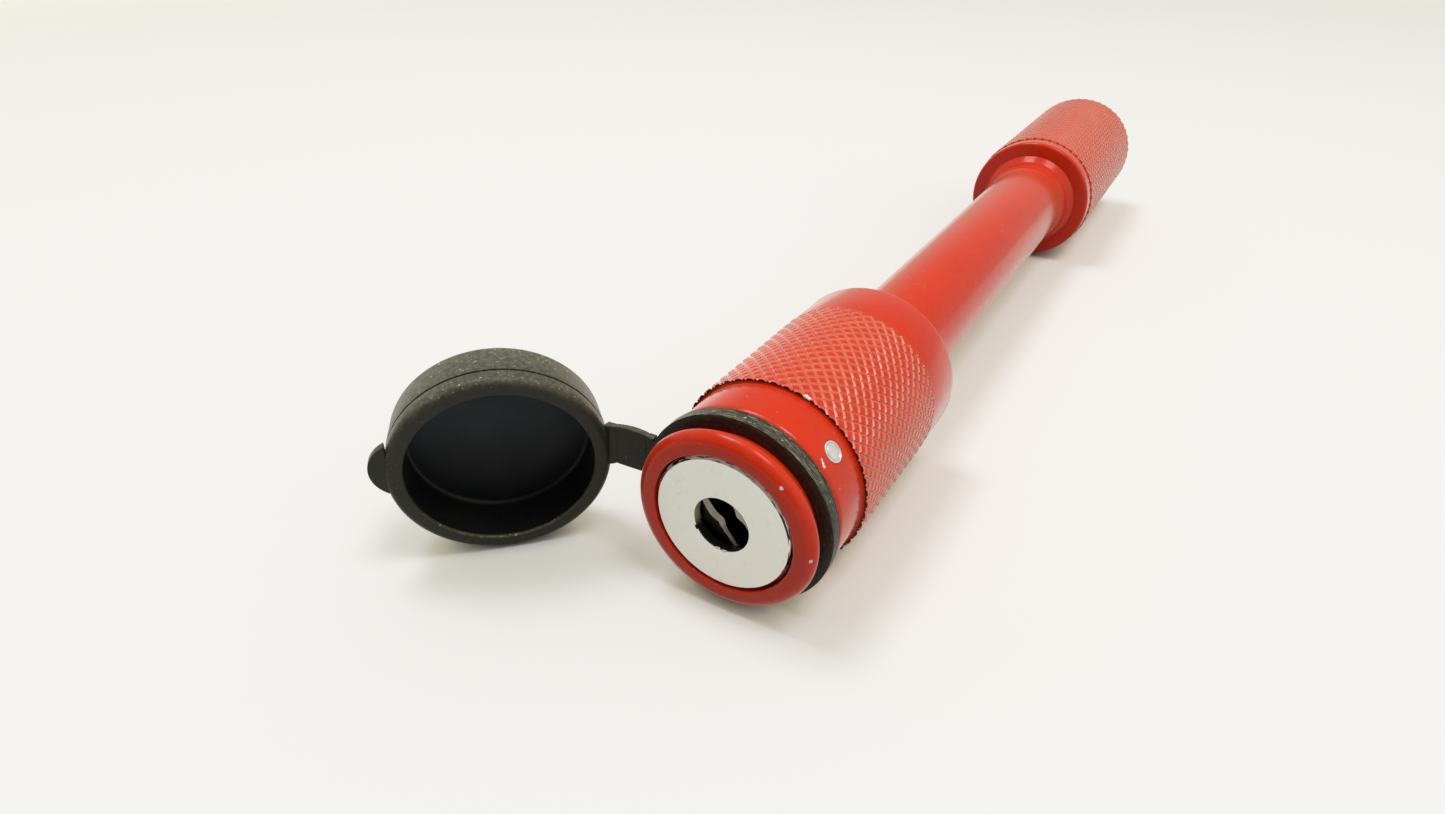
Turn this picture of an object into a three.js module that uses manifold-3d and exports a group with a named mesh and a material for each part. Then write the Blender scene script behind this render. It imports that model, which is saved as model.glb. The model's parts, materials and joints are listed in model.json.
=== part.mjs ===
// Locking hitch pin: a shaft between two round heads, one of which holds a key lock
// and slides off, with a rubber dust cap on a strap.
// Millimetres, +Z up. The origin is the centre of the end head's outer face,
// the shaft lies along Y and the lock face looks towards -Y.
import * as THREE from "three";
import { mergeVertices } from "three/addons/utils/BufferGeometryUtils.js";
import Module from "manifold-3d";

const wasm = await Module();
wasm.setup();

// Shaft and heads
const shaftDiameter = 15.875;
const shoulderWidth = 4.7625;
const usableSpan = 88.9;
const lockHeadLength = 42.9;
const endHeadLength = 49;

// Gaps and overruns
const fitGap = 0.1;
const seatGap = 0.1;
const runningGap = 0.3;
const cutOverrun = 1;

// Lock housing, outside
const lipStep = 1.05;
const lipLength = 1.9;
const lipFrontRounding = 0.8;
const lipBackRounding = 0.5;
const ringGrooveDepth = 1.25;
const ringGrooveLength = 3.5;
const frontBandStep = 0.65;
const frontBandLength = 6.6;
const frontBandRounding = 0.6;
const knurlEdge = 0.25;
const rearBandStep = 0.15;
const rearBandLength = 8.2;
const rearBandRounding = 0.6;

// Lock housing, inside
const grooveWall = 1.3;
const cylinderBoreChamfer = 0.25;
const webThickness = 1.2;
const webStep = 2.3;

// Lock cylinder
const faceRecess = 0.15;
const faceEdgeGap = 0.64;
const faceChamfer = 0.35;
const faceLength = 1.8;
const keyholeDiameter = 7.02;
const keyholeNotchWidth = 0.7;
const keyholeNotchDepth = 0.5;
const keyholeNotchDrop = 1.3;
const keyholeLip = 1.3;
const cylinderSealSetback = 5.6;
const cylinderSealSection = 1.6;
const cylinderSealDepth = 1;

// Key plug
const plugStep = 1.34;
const plugClearance = 0.15;
const plugRearSetback = 2.5;
const keywayWidth = 2.6;
const keywayHeight = 7.4;
const keywayWave = 0.7;
const keywayRearWall = 4;
const keywayLean = 27;
const tailDiameter = 5.8;
const tailSquare = 4.2;
const tailSquareLength = 1.7;
const tailReach = 0.6;

// Plug clip
const clipThickness = 0.8;
const clipBite = 1;
const clipTailGap = 0.6;
const clipMouth = 3.5;

// Drive cam and its cross pin
const camHubDiameter = 8.4;
const camFlangeStep = 0.4;
const camFlangeLength = 0.8;
const camHubLength = 2.8;
const crankRadius = 1.27;
const crankPinDiameter = 2;
const crossPinDiameter = 1.2;
const crossPinSetback = 0.4;

// Locking bolt
const boltTravel = 1.8;
const boltArmWidth = 7.2;
const boltArmThickness = 2.4;
const boltArmTopGap = 0.95;
const boltArmBottom = 3.6;
const boltSlotSide = 0.3;
const hookWidth = 5;
const hookThickness = 2.6;
const hookTopGap = 0.65;
const hookTipGap = 0.45;
const hookNeck = 1.3;

// Shaft end, groove and collar
const noseStep = 2.0375;
const noseLength = 2.2;
const noseChamfer = 0.8;
const boltGrooveDepth = 1.7;
const boltGrooveLength = 3.4;
const shaftGripLength = 10.15;
const shaftEndChamfer = 0.8;
const collarStep = 1.7625;
const collarLength = 3.2;
const collarChamfer = 0.7;
const shaftSocketDepth = 30;

// End head
const endHeadChamfer = 0.5;
const endBandStep = 0.2;
const endBandLength = 3.6;

// Shaft guide and its seal
const guideWall = 2.0125;
const guideWallGap = 0.15;
const guideRearSetback = 0.3;
const guideBoreChamfer = 0.5;
const sealSetback = 3.6;
const sealLength = 2;
const sealDepth = 1.1;

// Retaining pin
const retainingPinDiameter = 2.3;
const retainingPinSetback = 3.8;
const retainingPinAngle = 41;
const retainingPinWall = 1.6;

// Rubber ring on the housing
const capRingThickness = 2;
const capRingLength = 1.9;
const capRingSetback = 0.2;
const capRingChamfer = 0.25;

// Dust cap
const capMouthClearance = 0.15;
const capRimWall = 1.6;
const capHeight = 8;
const capRimHeight = 2.3;
const capRimRounding = 0.45;
const capPartingDepth = 0.2;
const capPartingWidth = 0.25;
const capTopStep = 0.45;
const capTopRounding = 1.1;
const capFloor = 1.3;
const capFloorRounding = 0.6;
const capFloorWall = 1.45;
const capClosedGap = 0.76;
const capOpenAngle = 134.8;
const foldAxisLeanShare = [0.037, -0.054, 1];

// Strap between ring and cap
const strapThickness = 0.9;
const strapWidth = 5.9;
const strapRise = 2.4;
const strapFoldReach = 2.03;
const strapFoldGap = 0.15;
const strapFoldRelief = 0.45;
const strapRootSpread = 0.5;

// Pull tab
const tabRadius = 4.4;
const tabReach = 1.9;
const tabThickness = 1.1;
const tabSetback = 0.5;
const tabRise = 1.8;

// Facet counts
const headSides = 48;
const boreSides = 40;
const smallSides = 16;
const roundingSteps = 3;
const keywaySteps = 10;

// Radii of the shaft, the heads and the bores, each from its neighbour
const shaftRadius = shaftDiameter / 2;
const headRadius = shaftRadius + shoulderWidth;
const noseRadius = shaftRadius - noseStep;
const boltGrooveRadius = noseRadius - boltGrooveDepth;
const collarRadius = shaftRadius + collarStep;
const endBandRadius = headRadius - endBandStep;
const lipRadius = headRadius - lipStep;
const ringGrooveRadius = lipRadius - ringGrooveDepth;
const frontBandRadius = headRadius - frontBandStep;
const rearBandRadius = headRadius - rearBandStep;
const cylinderBore = ringGrooveRadius - grooveWall;
const webBore = cylinderBore - webStep;
const shaftBore = shaftRadius + fitGap;
const guideRadius = shaftBore + guideWall;
const chamberBore = guideRadius + guideWallGap;
const keyholeRadius = keyholeDiameter / 2;
const plugRadius = keyholeRadius + plugStep;
const plugBore = plugRadius + plugClearance;
const tailRadius = tailDiameter / 2;
const camHubRadius = camHubDiameter / 2;
const camFlangeRadius = camHubRadius + camFlangeStep;
const capRingRadius = ringGrooveRadius + capRingThickness;
const capMouthRadius = lipRadius + capMouthClearance;
const capRimRadius = capMouthRadius + capRimWall;
const capTopRadius = capRimRadius - capTopStep;
const capFloorRadius = capTopRadius - capFloorWall;

// Stations along the shaft
const endHeadStart = -endHeadLength;
const shoulder = endHeadStart - usableSpan;
const lockFace = shoulder - lockHeadLength;

// Materials
const redPaint = () => material(0xc2281c, 0.32, 0.1);
const chrome = () => material(0xd2d4cf, 0.18, 1);
const steel = () => material(0x9d9c96, 0.35, 1);
const brass = () => material(0xb59a55, 0.35, 1);
const rubber = () => material(0x2b2c28, 0.75, 0);

function material(color, roughness, metalness) {
  return new THREE.MeshStandardMaterial({ color, roughness, metalness });
}

// A geometry as a solid: vertices merged, empty faces dropped, faces turned outwards
function solid(geometry) {
  const bare = new THREE.BufferGeometry();
  bare.setAttribute("position", geometry.getAttribute("position"));
  bare.setIndex(geometry.getIndex());
  const merged = mergeVertices(bare);
  const faces = [];
  for (let i = 0; i < merged.index.count; i += 3) {
    const [a, b, c] = [0, 1, 2].map((k) => merged.index.getX(i + k));
    if (a !== b && b !== c && c !== a) faces.push([a, b, c]);
  }
  const make = (list) =>
    new wasm.Manifold(
      new wasm.Mesh({
        numProp: 3,
        vertProperties: new Float32Array(merged.attributes.position.array),
        triVerts: new Uint32Array(list.flat()),
      }),
    );
  const made = make(faces);
  return made.volume() < 0 ? make(faces.map(([a, b, c]) => [a, c, b])) : made;
}

// A solid as a named mesh
function piece(name, body, look, parent) {
  const mesh = body.getMesh();
  const stride = mesh.numProp;
  const positions = new Float32Array(mesh.numVert * 3);
  for (let i = 0; i < mesh.numVert; i += 1) {
    positions.set(mesh.vertProperties.subarray(i * stride, i * stride + 3), i * 3);
  }
  const geometry = new THREE.BufferGeometry();
  geometry.setAttribute("position", new THREE.BufferAttribute(positions, 3));
  geometry.setIndex(new THREE.BufferAttribute(mesh.triVerts, 1));
  geometry.computeVertexNormals();
  const made = new THREE.Mesh(geometry, look);
  made.name = name;
  parent.add(made);
  return made;
}

// An outline of radius and station turned about the Y axis, with a flat facing down
function turned(outline, sides = headSides) {
  const points = outline.map(([radius, y]) => new THREE.Vector2(radius, y));
  const onAxis = outline[0][0] === 0 && outline[outline.length - 1][0] === 0;
  if (!onAxis) points.push(points[0].clone());
  return solid(new THREE.LatheGeometry(points, sides, Math.PI / sides));
}

// A plain ring or disc between two stations
function disc(outer, from, to, sides = boreSides) {
  return turned([[0, from], [outer, from], [outer, to], [0, to]], sides);
}

function box(x, y, z) {
  const size = [x, y, z].map(([low, high]) => high - low);
  const middle = [x, y, z].map(([low, high]) => (high + low) / 2);
  return solid(new THREE.BoxGeometry(...size).translate(...middle));
}

// A round rod along X that starts at a radius
function rod(diameter, from, to) {
  const shape = new THREE.CylinderGeometry(diameter / 2, diameter / 2, to - from, smallSides);
  return shape.rotateZ(Math.PI / 2).translate((from + to) / 2, 0, 0);
}

// Points of a quarter round between two corners of an outline
function rounding(fromRadius, fromY, toRadius, toY, bulgeAtStart) {
  const points = [];
  for (let i = 0; i <= roundingSteps; i += 1) {
    const angle = ((i / roundingSteps) * Math.PI) / 2;
    const radial = bulgeAtStart ? Math.sin(angle) : 1 - Math.cos(angle);
    const axial = bulgeAtStart ? 1 - Math.cos(angle) : Math.sin(angle);
    points.push([
      fromRadius + (toRadius - fromRadius) * radial,
      fromY + (toY - fromY) * axial,
    ]);
  }
  return points;
}

const part = new THREE.Group();

// Stations of the lock head's outside, from its face back
const bandStart = lockFace + lipLength + ringGrooveLength;
const knurlStart = bandStart + frontBandLength;
const knurlEnd = shoulder - rearBandLength;

// Stations of the mechanism, from the shoulder forwards to the lock's face
const grooveRear = shoulder - shaftGripLength;
const grooveFront = grooveRear - boltGrooveLength;
const noseFront = grooveFront - noseLength;
const armRear = noseFront - runningGap;
const armFront = armRear - boltArmThickness;
const camHubRear = armFront - runningGap;
const camFront = camHubRear - camHubLength;
const tailRear = camFront - seatGap;
const squareRear = tailRear + tailSquareLength;
const webFront = tailRear - tailReach;
const webRear = webFront + webThickness;
const cylinderRear = webFront - runningGap;
const cylinderFront = lockFace + faceRecess;

// Shaft with nose, locking groove and collar
piece(
  "pin_shaft",
  turned(
    [
      [0, noseFront],
      [noseRadius - noseChamfer, noseFront],
      [noseRadius, noseFront + noseChamfer],
      [noseRadius, grooveFront],
      [boltGrooveRadius, grooveFront],
      [boltGrooveRadius, grooveRear],
      [shaftRadius - shaftEndChamfer, grooveRear],
      [shaftRadius, grooveRear + shaftEndChamfer],
      [shaftRadius, endHeadStart - seatGap - collarLength],
      [collarRadius - collarChamfer, endHeadStart - seatGap - collarLength],
      [collarRadius, endHeadStart - seatGap - collarLength + collarChamfer],
      [collarRadius, endHeadStart - seatGap],
      [shaftRadius, endHeadStart - seatGap],
      [shaftRadius, endHeadStart + shaftSocketDepth - seatGap],
      [0, endHeadStart + shaftSocketDepth - seatGap],
    ],
    headSides,
  ),
  redPaint(),
  part,
);

// End head pressed on the shaft
piece(
  "end_head",
  turned([
    [0, endHeadStart + shaftSocketDepth],
    [shaftBore, endHeadStart + shaftSocketDepth],
    [shaftBore, endHeadStart],
    [endBandRadius - endHeadChamfer, endHeadStart],
    [endBandRadius, endHeadStart + endHeadChamfer],
    [endBandRadius, endHeadStart + endBandLength],
    [headRadius - knurlEdge, endHeadStart + endBandLength],
    [headRadius, endHeadStart + endBandLength + knurlEdge],
    [headRadius, -endHeadChamfer * 2],
    [headRadius - endHeadChamfer * 2, 0],
    [0, 0],
  ]),
  redPaint(),
  part,
);

// Everything that leaves with the lock head
const lockHead = new THREE.Group();
part.add(lockHead);

// Retaining pin, set radially through the front band into the cylinder
const pinTurn = THREE.MathUtils.degToRad(retainingPinAngle);
const pinY = bandStart + retainingPinSetback;
const retainingPinRoot = plugBore + retainingPinWall;
const radialRod = (diameter, from, to) =>
  solid(rod(diameter, from, to).rotateY(-pinTurn).translate(0, pinY, 0));
const retainingPinHole = radialRod(
  retainingPinDiameter + fitGap * 2,
  retainingPinRoot - seatGap,
  frontBandRadius + cutOverrun,
);
piece(
  "retaining_pin",
  radialRod(retainingPinDiameter, retainingPinRoot, frontBandRadius),
  steel(),
  lockHead,
);

// Housing: lip, ring groove, front band, knurled body and rear band round stepped bores
const housing = turned([
  [cylinderBore + cylinderBoreChamfer, lockFace],
  ...rounding(
    lipRadius - lipFrontRounding,
    lockFace,
    lipRadius,
    lockFace + lipFrontRounding,
    true,
  ),
  ...rounding(
    lipRadius,
    lockFace + lipLength - lipBackRounding,
    lipRadius - lipBackRounding,
    lockFace + lipLength,
    false,
  ),
  [ringGrooveRadius, lockFace + lipLength],
  [ringGrooveRadius, bandStart],
  ...rounding(
    frontBandRadius - frontBandRounding,
    bandStart,
    frontBandRadius,
    bandStart + frontBandRounding,
    true,
  ),
  [frontBandRadius, knurlStart],
  [headRadius - knurlEdge, knurlStart],
  [headRadius, knurlStart + knurlEdge],
  [headRadius, knurlEnd - knurlEdge],
  [rearBandRadius, knurlEnd],
  ...rounding(
    rearBandRadius,
    shoulder - rearBandRounding,
    rearBandRadius - rearBandRounding,
    shoulder,
    false,
  ),
  [chamberBore, shoulder],
  [chamberBore, webRear],
  [webBore, webRear],
  [webBore, webFront],
  [cylinderBore, webFront],
  [cylinderBore, lockFace + cylinderBoreChamfer],
]).subtract(retainingPinHole);
piece("lock_housing", housing, redPaint(), lockHead);

// Lock cylinder with its bright face, keyhole, seal groove and clip groove
const bodyRadius = cylinderBore - fitGap;
const faceRadius = cylinderBore - faceEdgeGap;
const clipRear = cylinderRear - plugRearSetback + clipThickness + runningGap * 2;
const clipFront = cylinderRear - plugRearSetback;
const sealRear = cylinderRear - cylinderSealSetback;
const sealFront = sealRear - cylinderSealSection;
const keyholeNotch = box(
  [-keyholeRadius - keyholeNotchDepth, 0],
  [cylinderFront - cutOverrun, cylinderFront + keyholeLip + cutOverrun],
  [-keyholeNotchDrop - keyholeNotchWidth / 2, -keyholeNotchDrop + keyholeNotchWidth / 2],
);
const cylinder = turned(
  [
    [keyholeRadius, cylinderFront],
    [faceRadius - faceChamfer, cylinderFront],
    [faceRadius, cylinderFront + faceChamfer],
    [faceRadius, cylinderFront + faceLength],
    [bodyRadius, cylinderFront + faceLength],
    [bodyRadius, sealFront],
    [bodyRadius - cylinderSealDepth, sealFront],
    [bodyRadius - cylinderSealDepth, sealRear],
    [bodyRadius, sealRear],
    [bodyRadius, cylinderRear],
    [plugBore, cylinderRear],
    [plugBore, clipRear],
    [plugBore + clipBite, clipRear],
    [plugBore + clipBite, clipFront],
    [plugBore, clipFront],
    [plugBore, cylinderFront + keyholeLip],
    [keyholeRadius, cylinderFront + keyholeLip],
  ],
  headSides,
)
  .subtract(retainingPinHole)
  .subtract(keyholeNotch);
piece("lock_cylinder", cylinder, chrome(), lockHead);

// Seal ring in the cylinder's groove
const sealRing = (inner, outer, from, to) =>
  turned([[inner, from], [outer, from], [outer, to], [inner, to]], boreSides);
piece(
  "cylinder_seal",
  sealRing(
    bodyRadius - cylinderSealDepth + fitGap,
    bodyRadius - fitGap / 2,
    sealFront + seatGap,
    sealRear - seatGap,
  ),
  rubber(),
  lockHead,
);

// Clip that holds the plug in the cylinder, open at one side
const clip = sealRing(
  tailRadius + clipTailGap,
  plugBore + clipBite - runningGap,
  clipFront + runningGap,
  clipFront + runningGap + clipThickness,
).subtract(
  box(
    [-clipMouth / 2, clipMouth / 2],
    [clipFront, clipRear],
    [0, plugBore + clipBite + cutOverrun],
  ),
);
piece("plug_clip", clip, steel(), lockHead);

// Key plug: turned body, leaning wavy keyway, stepped tail with a square end
const plugFront = cylinderFront + keyholeLip + runningGap;
const plugRear = clipFront - seatGap;
const keywayEnd = plugRear - keywayRearWall;
const wavy = new THREE.Shape();
const wave = (t) => keywayWave * Math.sin(t * Math.PI * 2);
const wallPoint = (side, t) => [
  (side * keywayWidth) / 2 + wave(t),
  (t - 1 / 2) * keywayHeight,
];
for (let i = 0; i <= keywaySteps; i += 1) {
  const [x, z] = wallPoint(-1, i / keywaySteps);
  if (i === 0) wavy.moveTo(x, z);
  else wavy.lineTo(x, z);
}
for (let i = keywaySteps; i >= 0; i -= 1) {
  wavy.lineTo(...wallPoint(1, i / keywaySteps));
}
wavy.closePath();
const keyway = solid(
  new THREE.ExtrudeGeometry(wavy, {
    depth: keywayEnd - plugFront + cutOverrun,
    bevelEnabled: false,
  })
    .rotateZ(THREE.MathUtils.degToRad(keywayLean))
    .rotateX(Math.PI / 2)
    .translate(0, keywayEnd, 0),
);
const crossPinY = (tailRear + squareRear) / 2;
const crossPinReach = camHubRadius - crossPinSetback;
const crossPinHole = solid(
  rod(
    crossPinDiameter + fitGap * 2,
    -camHubRadius - cutOverrun,
    camHubRadius + cutOverrun,
  ).translate(0, crossPinY, 0),
);
const plug = turned(
  [
    [0, plugFront],
    [plugRadius, plugFront],
    [plugRadius, plugRear],
    [tailRadius, plugRear],
    [tailRadius, tailRear],
    [0, tailRear],
  ],
  boreSides,
)
  .add(
    box(
      [-tailSquare / 2, tailSquare / 2],
      [tailRear - cutOverrun, squareRear],
      [-tailSquare / 2, tailSquare / 2],
    ),
  )
  .subtract(keyway)
  .subtract(crossPinHole);
const plugTurn = new THREE.Group();
lockHead.add(plugTurn);
piece("key_plug", plug, brass(), plugTurn);

// Drive cam on the plug's square end, with a crank pin off its axis
const crankShift = crankRadius * Math.SQRT1_2;
const crankPin = solid(
  new THREE.CylinderGeometry(
    crankPinDiameter / 2,
    crankPinDiameter / 2,
    armRear - camHubRear + camFlangeLength / 2,
    smallSides,
  ).translate(
    crankShift,
    (armRear + camHubRear - camFlangeLength / 2) / 2,
    crankShift,
  ),
);
const socket = tailSquare / 2 + fitGap;
const cam = turned(
  [
    [0, camFront],
    [camHubRadius, camFront],
    [camHubRadius, camHubRear - camFlangeLength],
    [camFlangeRadius, camHubRear - camFlangeLength],
    [camFlangeRadius, camHubRear],
    [0, camHubRear],
  ],
  boreSides,
)
  .subtract(
    box(
      [-socket, socket],
      [camFront - cutOverrun, squareRear + seatGap],
      [-socket, socket],
    ),
  )
  .subtract(crossPinHole)
  .add(crankPin);
piece("drive_cam", cam, steel(), plugTurn);
piece(
  "cam_cross_pin",
  solid(rod(crossPinDiameter, -crossPinReach, crossPinReach).translate(0, crossPinY, 0)),
  steel(),
  plugTurn,
);

// Locking bolt: a slotted arm in front of the shaft and a hook that reaches into its groove
const hookFront = grooveFront + (boltGrooveLength - hookThickness) / 2;
const boltArmTop = guideRadius - boltArmTopGap;
const hookTop = guideRadius - hookTopGap;
const hookTip = noseRadius + hookTipGap;
const crankSlot = crankPinDiameter / 2 + boltSlotSide;
const bolt = box(
  [-boltArmWidth / 2, boltArmWidth / 2],
  [armFront, armRear],
  [-boltArmBottom, boltArmTop],
)
  .subtract(
    box(
      [crankShift - crankSlot, crankRadius + crankSlot],
      [armFront - cutOverrun, armRear + cutOverrun],
      [crankShift - crankSlot, crankShift + crankSlot],
    ),
  )
  .add(
    box(
      [-hookWidth / 2, hookWidth / 2],
      [armRear - boltArmThickness, hookFront + hookThickness],
      [hookTop - hookNeck, hookTop],
    ).subtract(
      box(
        [-hookWidth, hookWidth],
        [armFront - cutOverrun, armFront + boltArmThickness / 2],
        [boltArmTop, hookTop + cutOverrun],
      ),
    ),
  )
  .add(
    box(
      [-hookWidth / 2, hookWidth / 2],
      [hookFront, hookFront + hookThickness],
      [hookTip, hookTop],
    ),
  );
piece("locking_bolt", bolt, steel(), lockHead);

// Shaft guide with the bolt's slots, the nose bore, the shaft bore and a seal groove
const guideFront = webRear + seatGap;
const guideRear = shoulder - guideRearSetback;
const armSlot = boltArmWidth / 2 + runningGap;
const hookSlot = hookWidth / 2 + runningGap;
const shaftSealFront = guideRear - sealSetback - sealLength;
const shaftSealRear = guideRear - sealSetback;
const guide = disc(guideRadius, guideFront, guideRear, headSides)
  .subtract(
    disc(camFlangeRadius + runningGap, guideFront - cutOverrun, armRear + runningGap),
  )
  .subtract(
    box(
      [-armSlot, armSlot],
      [guideFront - cutOverrun, armRear + runningGap],
      [-boltArmBottom - boltTravel - runningGap * 2, guideRadius + cutOverrun],
    ),
  )
  .subtract(
    box(
      [-hookSlot, hookSlot],
      [armRear, grooveRear],
      [0, guideRadius + cutOverrun],
    ),
  )
  .subtract(disc(noseRadius + runningGap, armRear, grooveRear + runningGap))
  .subtract(
    turned([
      [0, grooveRear - seatGap],
      [shaftBore, grooveRear - seatGap],
      [shaftBore, shaftSealFront],
      [shaftBore + sealDepth, shaftSealFront],
      [shaftBore + sealDepth, shaftSealRear],
      [shaftBore, shaftSealRear],
      [shaftBore, guideRear - guideBoreChamfer],
      [shaftBore + guideBoreChamfer, guideRear],
      [shaftBore + guideBoreChamfer, guideRear + cutOverrun],
      [0, guideRear + cutOverrun],
    ]),
  );
piece("shaft_guide", guide, steel(), lockHead);
piece(
  "shaft_seal",
  turned([
    [shaftBore, shaftSealFront + seatGap],
    [shaftBore + sealDepth - fitGap, shaftSealFront + seatGap],
    [shaftBore + sealDepth - fitGap, shaftSealRear - seatGap],
    [shaftBore, shaftSealRear - seatGap],
  ]),
  rubber(),
  lockHead,
);

// Rubber ring in the housing's groove
const capRingRear = bandStart - capRingSetback;
const capRingFront = capRingRear - capRingLength;
piece(
  "cap_ring",
  turned([
    [ringGrooveRadius + fitGap, capRingFront],
    [capRingRadius - capRingChamfer, capRingFront],
    [capRingRadius, capRingFront + capRingChamfer],
    [capRingRadius, capRingRear - capRingChamfer],
    [capRingRadius - capRingChamfer, capRingRear],
    [ringGrooveRadius + fitGap, capRingRear],
  ]),
  rubber(),
  lockHead,
);

// The strap folds about a near-upright line on its front face
const strapFoldX = capRimRadius + strapFoldReach;
const strapBack = capRingRear;
const strapFront = strapBack - strapThickness;
const foldPoint = new THREE.Vector3(-strapFoldX, strapFront, strapRise);
const foldAxis = new THREE.Vector3(...foldAxisLeanShare).normalize();
const foldTurn = new THREE.Quaternion().setFromAxisAngle(
  foldAxis,
  -THREE.MathUtils.degToRad(capOpenAngle),
);
const opened = (point) => point.clone().sub(foldPoint).applyQuaternion(foldTurn).add(foldPoint);

// An upright band between two lines seen from above
function band(outline, low, high) {
  const shape = new THREE.Shape(outline.map(([x, y]) => new THREE.Vector2(x, y)));
  return solid(
    new THREE.ExtrudeGeometry(shape, { depth: high - low, bevelEnabled: false })
      .translate(0, 0, low),
  );
}
const strapLow = strapRise - strapWidth / 2;
const strapHigh = strapRise + strapWidth / 2;
const ringSide = -(strapFoldX - strapFoldGap);
const ringHalf = band(
  [
    [ringSide, strapFront],
    [ringSide + strapFoldRelief, strapBack],
    [-ringGrooveRadius, capRingRear],
    [-ringGrooveRadius, capRingFront + strapRootSpread],
  ],
  strapLow,
  strapHigh,
).subtract(disc(capRingRadius + fitGap, capRingFront - cutOverrun, capRingRear + cutOverrun));
piece("strap_ring_half", ringHalf, rubber(), lockHead);

// Dust cap, shaped as it sits closed on the lip and then swung open about the fold
const capMouth = capRingFront - capClosedGap;
const capTop = capMouth - capHeight;
const partingY = capMouth - capRimHeight;
const capOutline = [
  ...rounding(
    capMouthRadius,
    capMouth - capRimRounding,
    capMouthRadius + capRimRounding,
    capMouth,
    false,
  ),
  ...rounding(
    capRimRadius - capRimRounding,
    capMouth,
    capRimRadius,
    capMouth - capRimRounding,
    true,
  ),
  [capRimRadius, partingY],
  [capRimRadius - capPartingDepth, partingY - capPartingWidth / 2],
  [capRimRadius, partingY - capPartingWidth],
  ...rounding(
    capTopRadius,
    capTop + capTopRounding,
    capTopRadius - capTopRounding,
    capTop,
    false,
  ),
  [0, capTop],
  [0, capTop + capFloor],
  [capFloorRadius - capFloorRounding, capTop + capFloor],
  [capFloorRadius, capTop + capFloor + capFloorRounding],
];

// The cup's outline starts and ends off the axis, so its floor is closed from the axis out
const cupStart = capOutline.findIndex(([radius]) => radius === 0) + 1;
const capClosed = turned([...capOutline.slice(cupStart), ...capOutline.slice(0, cupStart)]);
const capSwing = new THREE.Group();
capSwing.quaternion.copy(foldTurn);
capSwing.position.copy(foldPoint).sub(foldPoint.clone().applyQuaternion(foldTurn));
lockHead.add(capSwing);
piece("dust_cap", capClosed, rubber(), capSwing);

// Half-round pull tab on the rim, opposite the strap
const tabMiddle = capRimRadius + tabReach - tabRadius;
const tabFront = capMouth - tabSetback - tabThickness;
const rimGap = disc(capRimRadius + fitGap, capTop, capMouth + cutOverrun, headSides);
const tab = solid(
  new THREE.CylinderGeometry(tabRadius, tabRadius, tabThickness, boreSides).translate(
    tabMiddle,
    tabFront + tabThickness / 2,
    tabRise,
  ),
).subtract(rimGap);
piece("cap_pull_tab", tab, rubber(), capSwing);

// The cap's half of the strap runs from its rim to the fold
const rimRoot = new THREE.Vector3(-capRimRadius + strapThickness, capMouth - capRimHeight / 2, 0);
const rootOpen = opened(rimRoot);
const capSide = -(strapFoldX + strapFoldGap);
const openHalf = band(
  [
    [capSide, strapFront],
    [rootOpen.x, rootOpen.y - strapRootSpread],
    [rootOpen.x, rootOpen.y + strapThickness],
    [capSide - strapFoldRelief, strapBack],
  ],
  strapLow,
  strapHigh,
);
const capSwingInverse = new THREE.Matrix4()
  .compose(capSwing.position, capSwing.quaternion, new THREE.Vector3(1, 1, 1))
  .invert();
const closedHalf = openHalf.transform(capSwingInverse.toArray()).subtract(rimGap);
piece("strap_cap_half", closedHalf, rubber(), capSwing);

export default part;
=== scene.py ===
"""Locking hitch pin with knurled red heads, a key lock and a strapped rubber dust cap."""
import json
import math
from functools import partial

import bmesh
import bpy
from bpy.props import FloatProperty, FloatVectorProperty, IntProperty, PointerProperty
from mathutils import Matrix, Vector


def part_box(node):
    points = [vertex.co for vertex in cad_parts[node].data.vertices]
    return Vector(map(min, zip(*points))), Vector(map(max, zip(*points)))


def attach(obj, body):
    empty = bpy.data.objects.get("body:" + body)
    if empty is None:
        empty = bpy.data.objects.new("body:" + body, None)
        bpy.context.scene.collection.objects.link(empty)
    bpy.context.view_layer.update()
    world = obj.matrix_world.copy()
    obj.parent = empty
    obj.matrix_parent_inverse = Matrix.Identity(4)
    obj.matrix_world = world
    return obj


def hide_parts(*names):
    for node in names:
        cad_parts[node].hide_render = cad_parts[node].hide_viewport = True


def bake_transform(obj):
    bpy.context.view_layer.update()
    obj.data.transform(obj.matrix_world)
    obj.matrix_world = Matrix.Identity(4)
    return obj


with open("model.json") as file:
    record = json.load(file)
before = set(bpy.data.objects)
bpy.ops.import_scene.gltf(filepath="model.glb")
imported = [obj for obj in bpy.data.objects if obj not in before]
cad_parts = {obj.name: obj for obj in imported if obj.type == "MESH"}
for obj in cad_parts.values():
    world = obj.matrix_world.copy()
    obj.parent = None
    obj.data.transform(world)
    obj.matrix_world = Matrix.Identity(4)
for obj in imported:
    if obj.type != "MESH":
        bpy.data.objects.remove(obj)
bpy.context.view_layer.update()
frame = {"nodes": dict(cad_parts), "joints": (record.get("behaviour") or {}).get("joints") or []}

bl_info = {
    "name": "Locking Hitch Pin",
    "version": (1, 0, 0),
    "blender": (4, 5, 0),
    "location": "View3D > Sidebar > Hitch Pin",
    "description": "Builds a locking hitch pin with a rubber dust cap, piece by piece",
    "category": "Add Mesh",
}

# Lengths below are millimetres unless a comment says otherwise
MM = 0.001
QUARTER_TURN = math.pi / 2

HEAD_SIDES = 192
SHAFT_SIDES = 128
SMALL_SIDES = 64
MERGE_DISTANCE = 0.002 * MM
SMOOTH_ANGLE = math.radians(32)
STRAP_SMOOTH_ANGLE = math.radians(40)
BEVEL_ANGLE = math.radians(50)

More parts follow.
